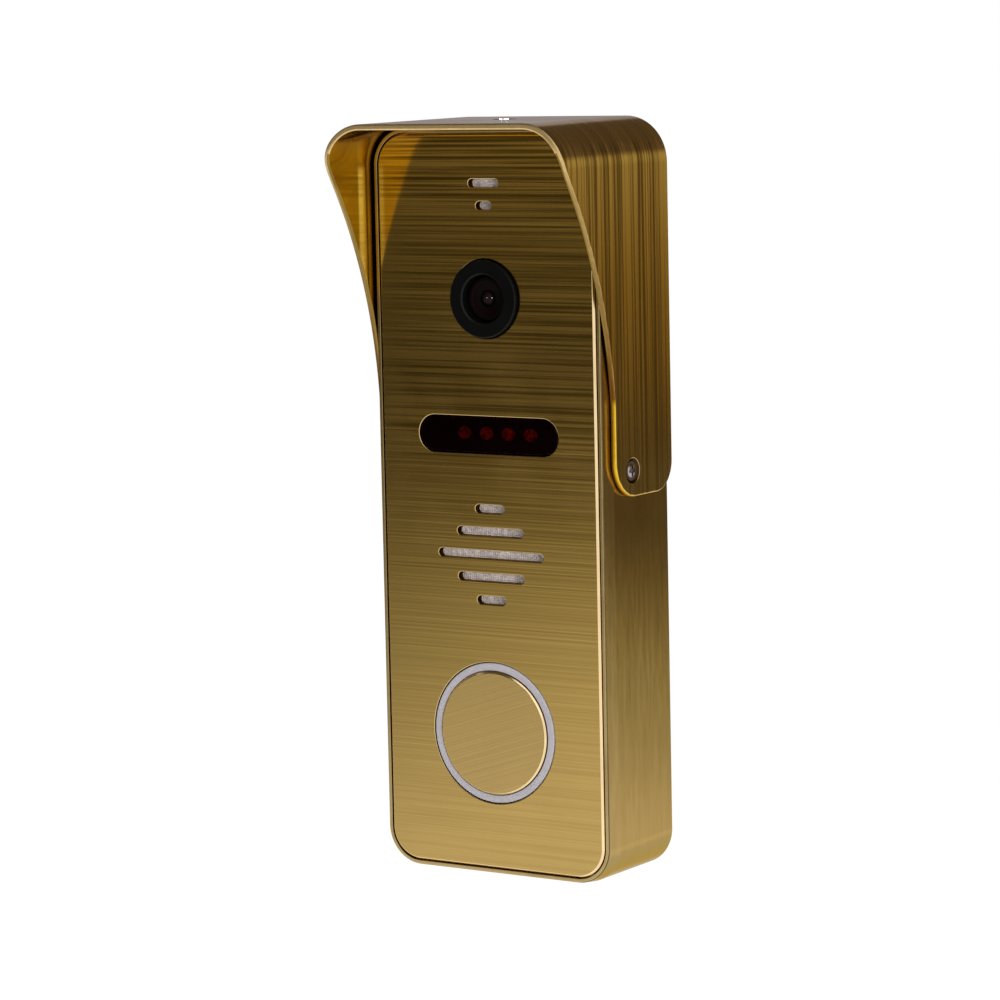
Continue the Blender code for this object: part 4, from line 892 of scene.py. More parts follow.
# Painted shade for the plate's upright walls and the visor's screw recesses
RECESS_PAINTED_SHADE = polished_gold("recess_painted_shade_gold", (0.035, 0.014, 0.006), (0.06, 0.027, 0.012), (0.4, 0.55))
BEZEL_BLACK = moulded(
    "bezel_black", (0.0018, 0.002, 0.0019), (0.003, 0.0033, 0.003), (0.30, 0.42), 6000.0,
    specular_ior_level=0.04,
)
BEZEL_EDGE = moulded(
    "bezel_edge_black", (0.002, 0.002, 0.002), (0.004, 0.004, 0.004), (0.22, 0.3), 6000.0,
    specular_ior_level=0.12,
)
TUBE_BLACK = moulded(
    "lens_tube_black", (0.002, 0.001, 0.001), (0.004, 0.0015, 0.0015), (0.35, 0.5), 5000.0,
    specular_ior_level=0.03,
)
COVER_BLACK = moulded("cover_black", (0.016, 0.016, 0.017), (0.032, 0.032, 0.033), (0.45, 0.6), 3000.0, 0.35)
RUBBER = moulded("seal_rubber", (0.014, 0.014, 0.014), (0.028, 0.027, 0.026), (0.65, 0.8), 2500.0, 0.3)
SCREW_STEEL = moulded(
    "screw_steel", (0.26, 0.225, 0.23), (0.50, 0.445, 0.455), (0.24, 0.16), 3000.0, 0.1, metallic=1.0
)
ZINC = zinc_spangle("bracket_zinc")
BOARD_GREEN = circuit_board("board_green")
CLOTH = cloth_thread("pale_cloth_thread")
LENS = lens_glass("lens_front_glass")
WINDOW_RED = red_window("window_dark_red")
LAMP_RED = lamp_face("lamp_dull_red")
LAMP_BODY = moulded("lamp_body", (0.05, 0.02, 0.02), (0.09, 0.03, 0.03), (0.4, 0.5))
RING_PALE = moulded(
    "light_ring_pale", (0.39, 0.325, 0.335), (0.48, 0.41, 0.42), (0.32, 0.42), 1800.0, 0.08,
    subsurface_weight=0.2,
)
WHITE_LAMP = moulded("ring_lamp_white", (0.62, 0.60, 0.48), (0.80, 0.79, 0.70), (0.35, 0.5))
WHITE_PLASTIC = moulded("switch_white", (0.60, 0.60, 0.58), (0.74, 0.74, 0.72), (0.35, 0.5))
PAPER = moulded("cone_paper", (0.020, 0.019, 0.018), (0.045, 0.042, 0.040), (0.7, 0.85), 1800.0, 0.5)


# Pieces of the front. A profile's points are (offset or radius, y), with the radius of a fillet third


def plate_slots():
    """(width, height, level) of every slot in the plate, the lamp window's last."""
    slots = [(width, MIC_SLOT_HEIGHT, level) for width, level in MIC_SLOTS]
    for i, width in enumerate(SPEAKER_SLOT_WIDTHS):
        slots.append((width, SPEAKER_SLOT_HEIGHT, SPEAKER_Z + (2 - i) * SPEAKER_SLOT_PITCH))
    return slots + [(WINDOW_SIZE[0] + 2 * CLEARANCE, WINDOW_SIZE[1] + 2 * CLEARANCE, WINDOW_Z)]


def plate_face():
    bm = bmesh.new()
    fronts, backs = [], []

    def wall(rings):
        loops = [[bm.verts.new(point) for point in ring] for ring in rings]
        skin(bm, loops)
        fronts.append(loops[0])
        backs.append(loops[-1])

    outer = [(-3 * PLATE_CHAMFER, FACE), (-PLATE_CHAMFER, FACE, 0.22 * MM)]
    outer += [(0.0, FACE + PLATE_CHAMFER, 0.1 * MM), (0.0, PLATE_BACK)]
    wall([at(panel_outline(offset), y) for offset, y in softened(outer)[1:]])
    rim = softened([(2 * HOLE_ROUND, FACE), (0.0, FACE, HOLE_ROUND), (0.0, PLATE_BACK)])[1:]
    for width, height, level in plate_slots():
        steps = CORNER_STEPS if height > 2 * MIC_SLOT_HEIGHT else SLOT_STEPS
        wall([at(slot_outline(width + 2 * o, height + 2 * o, steps), y, (0.0, level)) for o, y in rim])
    for radius, level in ((BEZEL_RADIUS, CAMERA_Z), (RING_RADIUS, BUTTON_Z)):
        wall([at(circle(radius + HOLE_GAP + o), y, (0.0, level)) for o, y in rim])
    holed_face(bm, fronts)
    holed_face(bm, backs)

    def rule(face):
        if abs(face.normal.y) > FLAT:
            return 0
        # Painted shade: the upright walls of the plate and its holes get the dark gold
        if face.normal.y > -UPRIGHT:
            return 3
        edge = max(abs(face.center.x) - PLATE_WIDTH / 2, abs(face.center.z) - PLATE_HEIGHT / 2)
        return 1 if edge > -PLATE_RADIUS / 2 else 2

    finishes = [PLATE_GOLD, CHAMFER_GOLD, HOLE_EDGE_GOLD, RECESS_PAINTED_SHADE]
    finish(made("plate_face", bm), "gold_aluminium", ["front_plate"], finishes, rule)


def housing_shell():
    profile = [
        (RIM_GAP, DECK_FRONT),
        (RIM_GAP, RIM_FRONT, 0.12 * MM),
        (RIM_OUTER, RIM_FRONT, 0.3 * MM),
        (OVERHANG, BAND_BACK, 1.2 * MM),
        (OVERHANG, -BACK_CHAMFER, 0.15 * MM),
        (OVERHANG - BACK_CHAMFER, 0.0, 0.1 * MM),
        (RECESS, 0.0, 0.15 * MM),
        (RECESS, LEDGE),
        (CAVITY, LEDGE),
        (CAVITY, DECK_BACK),
    ]
    piece = lofted("housing_shell", [at(panel_outline(offset), y) for offset, y in softened(profile)])
    bm = bmesh.new()
    front, back = DECK_FRONT - OVERCUT, DECK_BACK + OVERCUT
    pocket = DECK_FRONT + MESH_THICKNESS + CLEARANCE
    for wide, port, level in CLOTH_POCKETS:
        profile = [(0.0, front), (wide, front), (wide, pocket), (port, pocket), (port, back), (0.0, back)]
        turn(bm, profile, (0.0, level))
    for radius, level in ROUND_OPENINGS:
        turn(bm, [(0.0, front), (radius, front), (radius, back), (0.0, back)], (0.0, level))
    window = slot_outline(*WINDOW_OPENING)
    loft(bm, [at(window, y, (0.0, WINDOW_Z)) for y in (front, back)])
    rings = countersink(LOCK_SCREW, OVERHANG - RECESS)
    loft(bm, [[(u, LOCK_SCREW_Y + v, HOUSING_BOTTOM + rise) for u, v in ring] for ring, rise in rings])
    cut(piece, bm)

    def rule(face):
        # Painted shade: the rim's fillets that face right get the darker gold
        at_rim = face.center.y < RIM_FRONT + RIM_PAINTED_SHADE_DEPTH and face.normal.y > -NEARLY_FLAT
        if at_rim and face.normal.x > 0.1:
            return 2
        on_deck = face.center.y < DECK_FRONT + 0.2 * MM and face.normal.y < -NEARLY_FLAT
        return 1 if face.normal.y > 0.9 or on_deck else 0

    finish(piece, "gold_aluminium", ["housing"], [HOUSING_GOLD, RIM_GOLD, RIM_PAINTED_SHADE], rule)


def visor_front(z):
    """Where the visor's front edge lies at a height: upright foot, sweep, slope, nose."""
    if z <= VISOR_SWEEP_Z:
        return VISOR_FRONT
    middle_y = VISOR_FRONT - VISOR_SWEEP_RADIUS * math.cos(VISOR_SWEEP_START)
    middle_z = VISOR_SWEEP_Z - VISOR_SWEEP_RADIUS * math.sin(VISOR_SWEEP_START)
    end_y = middle_y + VISOR_SWEEP_RADIUS * math.cos(VISOR_SLOPE)
    end_z = middle_z + VISOR_SWEEP_RADIUS * math.sin(VISOR_SLOPE)
    if z <= end_z:
        return middle_y + math.sqrt(VISOR_SWEEP_RADIUS**2 - (z - middle_z) ** 2)
    nose_start = VISOR_NOSE + VISOR_NOSE_RADIUS * (1 - math.cos(VISOR_SLOPE))
    slope_top = end_z + (end_y - nose_start) / math.tan(VISOR_SLOPE)
    if z <= slope_top:
        return end_y - (z - end_z) * math.tan(VISOR_SLOPE)
    rise = min(z - slope_top - VISOR_NOSE_RADIUS * math.sin(VISOR_SLOPE), 0.0)
    return VISOR_NOSE + VISOR_NOSE_RADIUS - math.sqrt(VISOR_NOSE_RADIUS**2 - rise**2)


def on_visor(along, y, depth):
    """A point of the flat blank, bent into place: along runs from the middle of the top to a foot.

    The top falls a little towards the front, on its inside only where it is clear of the housing.
    """
    side = math.copysign(1.0, along)
    run = abs(along) - TOP_RUN
    turned = min(max(run / VISOR_BEND, 0.0), QUARTER)
    radius = VISOR_BEND - depth
    x = TOP_RUN + min(run, 0.0) + radius * math.sin(turned)
    z = BEND_Z + radius * math.cos(turned) - max(run - BEND_RUN, 0.0)
    start, full = VISOR_FALL_INSIDE
    level = 1.0 - min(max((y - start) / (full - start), 0.0), 1.0)
    z += VISOR_FALL * y * math.cos(turned) * (1.0 - level * depth / VISOR_SHEET)
    return (side * x, y, z)


def visor_blank():
    """The flat blank's outline as (along, y), with both feet rounded."""
    half = []
    for i in range(CORNER_STEPS + 1):
        turned = QUARTER * i / CORNER_STEPS
        half.append((TOP_RUN + VISOR_BEND * turned, visor_front(BEND_Z + VISOR_BEND * math.cos(turned))))
    for i in range(1, 2 * CORNER_STEPS + 1):
        z = BEND_Z + (VISOR_SWEEP_Z - BEND_Z) * i / (2 * CORNER_STEPS)
        half.append((BLANK_HALF + VISOR_BOTTOM - z, visor_front(z)))
    front = (BLANK_HALF - VISOR_FRONT_CORNER, VISOR_FRONT + VISOR_FRONT_CORNER)
    half += arc(front, VISOR_FRONT_CORNER, -QUARTER, 0.0, CORNER_STEPS)
    back = (BLANK_HALF - VISOR_BACK_CORNER, VISOR_BACK - VISOR_BACK_CORNER)
    half += arc(back, VISOR_BACK_CORNER, 0.0, QUARTER, CORNER_STEPS)
    return half + [(-along, y) for along, y in reversed(half)]


def inset(outline, distance):
    """A closed outline that runs anticlockwise, moved inwards."""
    points = [Vector(point) for point in outline]
    moved = []
    for i, here in enumerate(points):
        forth = (here - points[i - 1]).normalized() + (points[(i + 1) % len(points)] - here).normalized()
        forth.normalize()
        moved.append((here.x - forth.y * distance, here.y + forth.x * distance))
    return moved


def visor_sheet():
    """A flat sheet with rounded edges, bent at two lines, as the real one is made."""
    blank = visor_blank()
    rounding = [(2 * VISOR_EDGE, 0.0), (0.0, 0.0, VISOR_EDGE), (0.0, VISOR_EDGE_SPLIT)]
    rounding = softened(rounding + [(0.0, VISOR_SHEET, VISOR_EDGE), (2 * VISOR_EDGE, VISOR_SHEET)])
    bm = bmesh.new()
    loft(bm, [[(along, y, depth) for along, y in inset(blank, offset)] for offset, depth in rounding[1:-1]])
    lines = [((0.0, y, 0.0), (0.0, 1.0, 0.0)) for y in VISOR_FALL_INSIDE]
    for i in range(CORNER_STEPS + 1):
        bend = TOP_RUN + BEND_RUN * i / CORNER_STEPS
        lines += [((side * bend, 0.0, 0.0), (1.0, 0.0, 0.0)) for side in SIDES]
    for place, facing in lines:
        parts = bm.verts[:] + bm.edges[:] + bm.faces[:]
        bmesh.ops.bisect_plane(bm, geom=parts, dist=1e-6, plane_co=place, plane_no=facing)
    for vertex in bm.verts:
        vertex.co = on_visor(*vertex.co)
    piece = made("visor_sheet", bm)
    bm = bmesh.new()
    rings = countersink(VISOR_SCREW, VISOR_SHEET, VISOR_SCREW_SINK)
    y, z = VISOR_SCREW_SPOT
    for side in SIDES:
        loft(bm, [[(side * (VISOR_HALF - d), y + u, z + v) for u, v in ring] for ring, d in rings])
    loft(bm, [[(u, VISOR_TOP_SCREW_Y + v, VISOR_TOP - d) for u, v in ring] for ring, d in rings])
    cut(piece, bm)
    ease_edges(piece, 0.12 * MM, 3)
    top_axis = Vector((0.0, VISOR_TOP_SCREW_Y))
    mouth = VISOR_SCREW[0] / 2 + CLEARANCE + VISOR_SCREW_SINK

    def rule(face):
        middle = face.center
        reach = Vector((max(abs(middle.x) - TOP_RUN, 0.0), 0.0, max(middle.z - BEND_Z, 0.0)))
        reach.x = math.copysign(reach.x, middle.x)
        outward = face.normal.dot(reach.normalized())
        at_side = (middle.yz - Vector((y, z))).length
        at_top = (middle.xy - top_axis).length if middle.z > BEND_Z else VISOR_TOP
        # Painted shade in the countersinks, apart from the side screws' bright lips
        if min(at_side, at_top) < mouth + 0.15 * MM and outward < 0.97:
            return 5 if mouth - 0.1 * MM < at_side < at_top else 3
        if abs(outward) < 0.85:
            inner = VISOR_BEND - reach.length > VISOR_EDGE_SPLIT
            # Painted shade: the edge's inner part below the bend gets the darker gold
            return 4 if inner and middle.z < VISOR_PAINTED_SHADE_TOP else 1
        return 0 if outward > 0 else 2

    finishes = [VISOR_GOLD, EDGE_GOLD, INNER_GOLD, RECESS_PAINTED_SHADE, EDGE_PAINTED_SHADE, CHAMFER_GOLD]
    finish(piece, "gold_aluminium", ["visor"], finishes, rule)


def camera_pieces():
    middle = (0.0, CAMERA_Z)
    profile = [
        (BEZEL_BORE + BEZEL_CHAMFER, BEZEL_FRONT, 0.1 * MM),
        (BEZEL_RADIUS, BEZEL_FRONT, 0.3 * MM),
        (BEZEL_RADIUS, DECK_FRONT),
        (BEZEL_FLANGE, DECK_FRONT),
        (BEZEL_FLANGE, FLANGE_BACK),
        (BEZEL_BORE, FLANGE_BACK),
        (BEZEL_BORE, BEZEL_FRONT + BEZEL_CHAMFER, 0.1 * MM),
    ]

    def rule(face):
        return 1 if -NEARLY_FLAT < face.normal.y < -UPRIGHT else 0

    piece = turned_piece("bezel_ring", profile, middle, closed=True)
    finish(piece, "black_plastic", ["camera_bezel"], [BEZEL_BLACK, BEZEL_EDGE], rule)
    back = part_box("lens_barrel")[1].y
    dome, crown = LENS_DOME
    dish, lip, tube, foot = TUBE_RADII
    profile = [
        (0.0, LENS_SEAT),
        (dome + CLEARANCE, LENS_SEAT),
        (dome + CLEARANCE, LENS_LEVEL, 0.08 * MM),
        (dish, LENS_LEVEL - DISH_DEPTH, 0.08 * MM),
        (lip, LENS_FRONT, 0.08 * MM),
        (tube, LENS_FRONT, 0.1 * MM),
        (tube, DECK_BACK),
        (foot, DECK_BACK, 0.2 * MM),
        (foot, back, 0.2 * MM),
        (0.0, back),
    ]
    finish(turned_piece("lens_tube", profile, middle), "black_plastic", ["lens_barrel"], [TUBE_BLACK])
    sphere = (dome**2 + crown**2) / (2 * crown)
    profile = []
    for i in range(LENS_STEPS + 1):
        out = dome * i / LENS_STEPS
        profile.append((out, LENS_LEVEL - crown + sphere - math.sqrt(sphere**2 - out**2)))
    profile += [(dome, LENS_SEAT - CLEARANCE), (0.0, LENS_SEAT - CLEARANCE)]
    return finish(turned_piece("lens_front", profile, middle), "lens_glass", ["lens_glass"], [LENS])


def window_pane():
    width, height = WINDOW_SIZE
    profile = [
        (-1.0 * MM, WINDOW_FRONT),
        (0.0, WINDOW_FRONT, 0.06 * MM),
        (0.0, DECK_FRONT),
        (WINDOW_FLANGE, DECK_FRONT, 0.1 * MM),
        (WINDOW_FLANGE, FLANGE_BACK),
    ]
    rings = []
    for offset, y in softened(profile)[1:]:
        outline = slot_outline(width + 2 * offset, height + 2 * offset, CORNER_STEPS)
        rings.append(at(outline, y, (0.0, WINDOW_Z)))
    finish(lofted("window_pane", rings), "window_plastic", ["ir_window"], [WINDOW_RED])


def button_pieces():
    middle = (0.0, BUTTON_Z)
    boss_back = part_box("button_light_ring")[1].y
    skirt = RING_RADIUS - RING_SKIRT
    profile = [
        (0.0, RING_FLOOR),
        (DISC_RADIUS + HOLE_GAP, RING_FLOOR),
        (DISC_RADIUS + HOLE_GAP, FACE, 0.12 * MM),
        (RING_RADIUS, FACE, 0.25 * MM),
        (RING_RADIUS, SEAT),
        (RING_RADIUS + RING_FLANGE, SEAT),
        (RING_RADIUS + RING_FLANGE, RING_SKIRT_BACK),
        (skirt, RING_SKIRT_BACK),
        (skirt, RING_WEB_BACK),
        (RING_BOSS, RING_WEB_BACK),
        (RING_BOSS, boss_back),
        (0.0, boss_back),
    ]
    piece = turned_piece("light_ring", profile, middle)
    finish(piece, "pale_ring", ["button_light_ring"], [RING_PALE], body="call_button")
    profile = [
        (0.0, DISC_FRONT),
        (DISC_RADIUS - DISC_CHAMFER, DISC_FRONT, 0.08 * MM),
        (DISC_RADIUS, DISC_FRONT + DISC_CHAMFER, 0.08 * MM),
        (DISC_RADIUS, DISC_BACK),
        (0.0, DISC_BACK),
    ]

    def rule(face):
        return 1 if -FLAT < face.normal.y < -UPRIGHT else 0

    piece = turned_piece("press_disc", profile, middle)
    finish(piece, "gold_aluminium", ["button_disc"], [DISC_GOLD, CHAMFER_GOLD], rule, "call_button")


# Pieces that Geometry Nodes repeat


def run_tree(name, tree, values, mesh=None):
    """Applies a geometry tree with its named inputs to a new object, and leaves the plain mesh."""
    piece = put(name, mesh or bpy.data.meshes.new(name))
    modifier = piece.modifiers.new(tree.name, "NODES")
    modifier.node_group = tree
    for item in tree.interface.items_tree:
        if item.item_type == "SOCKET" and item.in_out == "INPUT" and item.name in values:
            modifier[item.identifier] = values[item.name]
    settle(piece)
    return piece


def geometry_tree(name, inputs):
    inputs = {"Geometry": GEOMETRY, **inputs}
    return group_tree(name, "GeometryNodeTree", inputs, {"Geometry": GEOMETRY})


def woven_cloth_tree():
    """A round of plain weave in the XZ plane, from threads that pass over and under each other."""
    sizes = {"Radius": 13.0 * MM, "Pitch": 0.48 * MM, "Thread Radius": 0.2 * MM, "Wave": 0.05 * MM}
    n, given, result = geometry_tree("woven_cloth", {**sizes, "Middle": ORIGIN, "Finish": FINISH})
    radius, pitch = given["Radius"], given["Pitch"]
    each_side = n.calc("FLOOR", n.over(radius, pitch))
    count = n.calc("MULTIPLY_ADD", each_side, 2.0, 1.0)
    first = n.times(n.times(each_side, pitch), -1.0)
    start = n.times(radius, -1.0)
    ring = n.out("GeometryNodeCurvePrimitiveCircle", {"Resolution": 5, "Radius": given["Thread Radius"]})
    joined = n.add("GeometryNodeJoinGeometry")
    for along, across, over in (("X", "Z", 1.0), ("Z", "X", -1.0)):
        ends = {"Start": n.join(**{along: start}), "End": n.join(**{along: radius})}
        line = {"Curve": n.out("GeometryNodeCurvePrimitiveLine", ends), "Length": n.over(pitch, 3.0)}
        thread = n.out("GeometryNodeResampleCurve", line, mode="LENGTH")
        row = {"Start Location": n.join(**{across: first}), "Offset": n.join(**{across: pitch})}
        spots = n.out("GeometryNodeMeshLine", {"Count": count, **row})
        threads = n.real(n.out("GeometryNodeInstanceOnPoints", {"Points": spots, "Instance": thread}))
        position = n.out("GeometryNodeInputPosition")
        place = n.split(position)
        waves = [n.calc("COSINE", n.times(n.over(place[axis], pitch), math.pi)) for axis in ("X", "Z")]
        lift = n.times(n.times(n.times(*waves), given["Wave"]), over)
        out = n.add("ShaderNodeVectorMath", {0: position}, operation="LENGTH").outputs["Value"]
        beyond = n.out("FunctionNodeCompare", {"A": out, "B": radius}, operation="GREATER_THAN")
        kept = n.out("GeometryNodeDeleteGeometry", {"Geometry": threads, "Selection": beyond})
        waved = n.out("GeometryNodeSetPosition", {"Geometry": kept, "Offset": n.join(Y=lift)})
        tube = {"Curve": waved, "Profile Curve": ring, "Fill Caps": True}
        n.tree.links.new(n.out("GeometryNodeCurveToMesh", tube), joined.inputs[0])
    cloth = n.real(n.move(joined.outputs[0], Translation=given["Middle"]))
    n.tree.links.new(n.painted(cloth, given["Finish"]), result["Geometry"])
    return n.tree


def cross_head_screws_tree():
    """Countersunk cross-head screws on points with a turn attribute. A head faces its screw's own +Z."""
    names = ("Head Diameter", "Shank Diameter", "Length", "Cross Arm", "Cross Width", "Cross Depth", "Crown")
    n, given, result = geometry_tree("cross_head_screws", {**dict.fromkeys(names, 0.0), "Finish": FINISH})
    head, shank = n.over(given["Head Diameter"], 2.0), n.over(given["Shank Diameter"], 2.0)
    depth = n.less(head, shank)

    def lowered(mesh, distance):
        return n.move(mesh, Translation=n.join(Z=n.times(distance, -1.0)))

    def boolean(operation, pieces, inputs=None):
        node = n.add("GeometryNodeMeshBoolean", inputs, operation=operation, solver="EXACT")
        for piece in pieces:
            n.tree.links.new(piece, node.inputs["Mesh 2"])
        return node.outputs[0]

    cone = {"Vertices": SCREW_STEPS, "Radius Top": head, "Radius Bottom": shank, "Depth": depth}
    cone = lowered(n.out("GeometryNodeMeshCone", cone), depth)
    length = n.less(given["Length"], n.over(depth, 2.0))
    rod = n.out("GeometryNodeMeshCylinder", {"Vertices": SCREW_STEPS, "Radius": shank, "Depth": length})
    body = boolean("UNION", [cone, lowered(rod, n.less(given["Length"], n.over(length, 2.0)))])
    ball = n.out("GeometryNodeMeshUVSphere", {"Segments": SCREW_STEPS, "Rings": 16, "Radius": 1.0})
    wide = n.times(head, CROWN_WIDTH)
    domed = boolean("UNION", [body, n.move(ball, Scale=n.join(X=wide, Y=wide, Z=given["Crown"]))])
    crowned = n.out("FunctionNodeCompare", {"A": given["Crown"]}, operation="GREATER_THAN")
    choice = {"Switch": crowned, "False": body, "True": domed}
    blank = n.out("GeometryNodeSwitch", choice, input_type="GEOMETRY")
    arm, wide = given["Cross Arm"], given["Cross Width"]
    twice = n.times(given["Cross Depth"], 2.0)
    blades = [n.join(X=x, Y=y, Z=twice) for x, y in ((arm, wide), (wide, arm))]
    blades = [n.out("GeometryNodeMeshCube", {"Size": size}) for size in blades]
    screw = {"Points": given["Geometry"], "Instance": boolean("DIFFERENCE", blades, {"Mesh 1": blank})}
    turned = n.out("GeometryNodeInputNamedAttribute", {"Name": "turn"}, data_type="FLOAT_VECTOR")
    screw["Rotation"] = n.out("FunctionNodeEulerToRotation", {0: turned})
    screws = n.real(n.out("GeometryNodeInstanceOnPoints", screw))
    n.tree.links.new(n.painted(screws, given["Finish"]), result["Geometry"])
    return n.tree


def lamp_row_tree():
    """A row of surface lamps along X: a square body with a domed face towards -Y."""
    sizes = {"Count": 4, "Pitch": 4.9 * MM, "Width": 3.5 * MM, "Height": 2.8 * MM, "Thickness": 0.6 * MM}
    inputs = {**sizes, "Dome": LAMP_DOME, "Middle": ORIGIN, "Body Finish": FINISH, "Dome Finish": FINISH}
    n, given, result = geometry_tree("lamp_row", inputs)
    width, height, thickness, pitch = (given[name] for name in ("Width", "Height", "Thickness", "Pitch"))
    block = n.out("GeometryNodeMeshCube", {"Size": n.join(X=width, Y=thickness, Z=height)})
    block = n.painted(block, given["Body Finish"])
    block = n.move(block, Translation=n.join(Y=n.over(thickness, 2.0)))
    ball = n.out("GeometryNodeMeshUVSphere", {"Segments": 24, "Rings": 12, "Radius": 1.0})
    across, up = n.times(width, LAMP_DOME_WIDTH), n.times(height, LAMP_DOME_WIDTH)
    shape = n.join(X=across, Y=given["Dome"], Z=up)
    dome = n.painted(n.move(ball, Scale=shape), given["Dome Finish"])
    lamp = n.add("GeometryNodeJoinGeometry")
    for part in (block, dome):
        n.tree.links.new(part, lamp.inputs[0])
    first = n.times(n.times(n.less(given["Count"], 1.0), pitch), -0.5)
    row = {"Count": given["Count"], "Start Location": n.join(X=first), "Offset": n.join(X=pitch)}
    spots = n.out("GeometryNodeMeshLine", row)
    copies = n.out("GeometryNodeInstanceOnPoints", {"Points": spots, "Instance": lamp.outputs[0]})
    n.tree.links.new(n.real(n.move(copies, Translation=given["Middle"])), result["Geometry"])
    return n.tree


def cloth_pieces():
    tree = woven_cloth_tree()
    level = DECK_FRONT + MESH_THICKNESS / 2
    cloths = (
        ("speaker_cloth", "speaker_mesh", 13.0 * MM, SPEAKER_Z),
        ("mic_cloth", "mic_mesh", 5.0 * MM, MIC_Z),
    )
    for name, node, radius, z in cloths:
        piece = run_tree(name, tree, {"Radius": radius, "Middle": (0.0, level, z), "Finish": CLOTH})
        finish(piece, "pale_cloth", [node], [CLOTH])


def screw_pieces():
    """Each set of screws has the solids it stands for, and a place and a turn for each."""
    tree = cross_head_screws_tree()
    y, z = VISOR_SCREW_SPOT
    half = VISOR_HALF - VISOR_SCREW_SINK
    on_top = (0.0, VISOR_TOP_SCREW_Y, VISOR_TOP - VISOR_SCREW_SINK)
    column_x, column_z = COLUMN_SPOT
    on_visor_spots = [(on_top, (0.0, 0.0, SCREW_TWIST))]
    on_visor_spots += [((side * half, y, z), (0.0, side * QUARTER, 0.0)) for side in SIDES]
    on_cover = [((s * column_x, COVER_BACK, l * column_z), (-QUARTER, 0.0, 0.0)) for s, l in CORNERS]
    below = [((0.0, LOCK_SCREW_Y, HOUSING_BOTTOM), (math.pi, 0.0, SCREW_TWIST))]
    visor_nodes = ["visor_top_screw", "visor_side_screw_left", "visor_side_screw_right"]
    cover_nodes = [f"cover_screw_{i + 1}" for i in range(4)]
    sets = (
        ("visor_screws", VISOR_SCREW, VISOR_SCREW_CROWN, visor_nodes, on_visor_spots),
        ("cover_screws", COVER_SCREW, 0.0, cover_nodes, on_cover),
        ("lock_screw", LOCK_SCREW, 0.0, ["bracket_lock_screw"], below),
    )
    pieces = []
    for name, (head, shank, length), crown, nodes, spots in sets:
        mesh = bpy.data.meshes.new(name)
        mesh.from_pydata([spot for spot, _ in spots], [], [])
        turns = mesh.attributes.new("turn", "FLOAT_VECTOR", "POINT")
        for item, (_, turned) in zip(turns.data, spots):
            item.vector = turned
        values = {"Head Diameter": head, "Shank Diameter": shank, "Length": length, "Finish": SCREW_STEEL}
        values.update({"Cross Arm": head * CROSS_ARM, "Cross Width": head * CROSS_WIDTH})
        values.update({"Cross Depth": CROSS_DEPTH, "Crown": crown})
        pieces.append(finish(run_tree(name, tree, values, mesh), "screw_steel", nodes, [SCREW_STEEL]))
    return pieces[0]


def lamp_pieces():
    low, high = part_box("ir_led_1")
    front = low.y + LAMP_DOME
    values = {"Thickness": high.y - front, "Middle": (0.0, front, WINDOW_Z)}
    values.update({"Body Finish": LAMP_BODY, "Dome Finish": LAMP_RED})
    piece = run_tree("lamp_row", lamp_row_tree(), values)
    reach = front + 1e-6

    def rule(face):
        return 1 if len(face.vertices) < 4 or face.center.y < reach - 1e-5 and face.area < 1e-6 else 0

    finish(piece, "lamp_plastic", [f"ir_led_{i + 1}" for i in range(4)], [LAMP_BODY, LAMP_RED], rule)


# Pieces of the back


def rear_cover():
    gap = RECESS - CLEARANCE
    profile = [
        (gap - 1.0 * MM, COVER_FRONT),
        (gap, COVER_FRONT, 0.15 * MM),
        (gap, COVER_BACK, 0.3 * MM),
        (gap - 1.0 * MM, COVER_BACK),
    ]
    piece = lofted("rear_cover", [at(panel_outline(offset), y) for offset, y in softened(profile)[1:-1]])
    lip_front, lip_back = KEEPER_LIP
    root_low, root_high = KEEPER_ROOT
    drop = root_low - KEEPER_DROP
    inside = COVER_BACK - OVERLAP
    keeper = [(inside, root_high), (lip_back, root_high), (lip_back, drop)]
    keeper += [(lip_front, drop), (lip_front, root_low), (inside, root_low)]
    bm = bmesh.new()
    tongue_pair(bm, keeper)
    cut(piece, bm, "UNION")
    bm = bmesh.new()
    rings = countersink(COVER_SCREW, COVER_BACK - COVER_FRONT)
    for side, level in CORNERS:
        spot = (side * COLUMN_SPOT[0], level * COLUMN_SPOT[1])
        loft(bm, [at(ring, COVER_BACK - depth, spot) for ring, depth in rings])
    ends = (COVER_FRONT - OVERCUT, COVER_BACK + OVERCUT)
    loft(bm, [at(circle(CABLE_HOLE), y, (0.0, CABLE_Z)) for y in ends])
    cut(piece, bm)
    finish(piece, "black_plastic", ["back_cover"], [COVER_BLACK])


def grommet():
    front, back = COVER_FRONT - CLEARANCE, COVER_BACK + CLEARANCE
    lip_front, lip_back = front - GROMMET_LIP_THICKNESS, back + GROMMET_LIP_THICKNESS
    profile = [
        (CABLE_BORE, lip_front, 0.3 * MM),
        (GROMMET_LIP, lip_front, 0.5 * MM),
        (GROMMET_LIP, front, 0.2 * MM),
        (GROMMET_GROOVE, front),
        (GROMMET_GROOVE, back),
        (GROMMET_LIP, back, 0.2 * MM),
        (GROMMET_LIP, lip_back, 0.5 * MM),
        (CABLE_BORE, lip_back, 0.3 * MM),
    ]
    piece = turned_piece("grommet", profile, (0.0, CABLE_Z), closed=True)
    finish(piece, "black_rubber", ["cable_grommet"], [RUBBER])


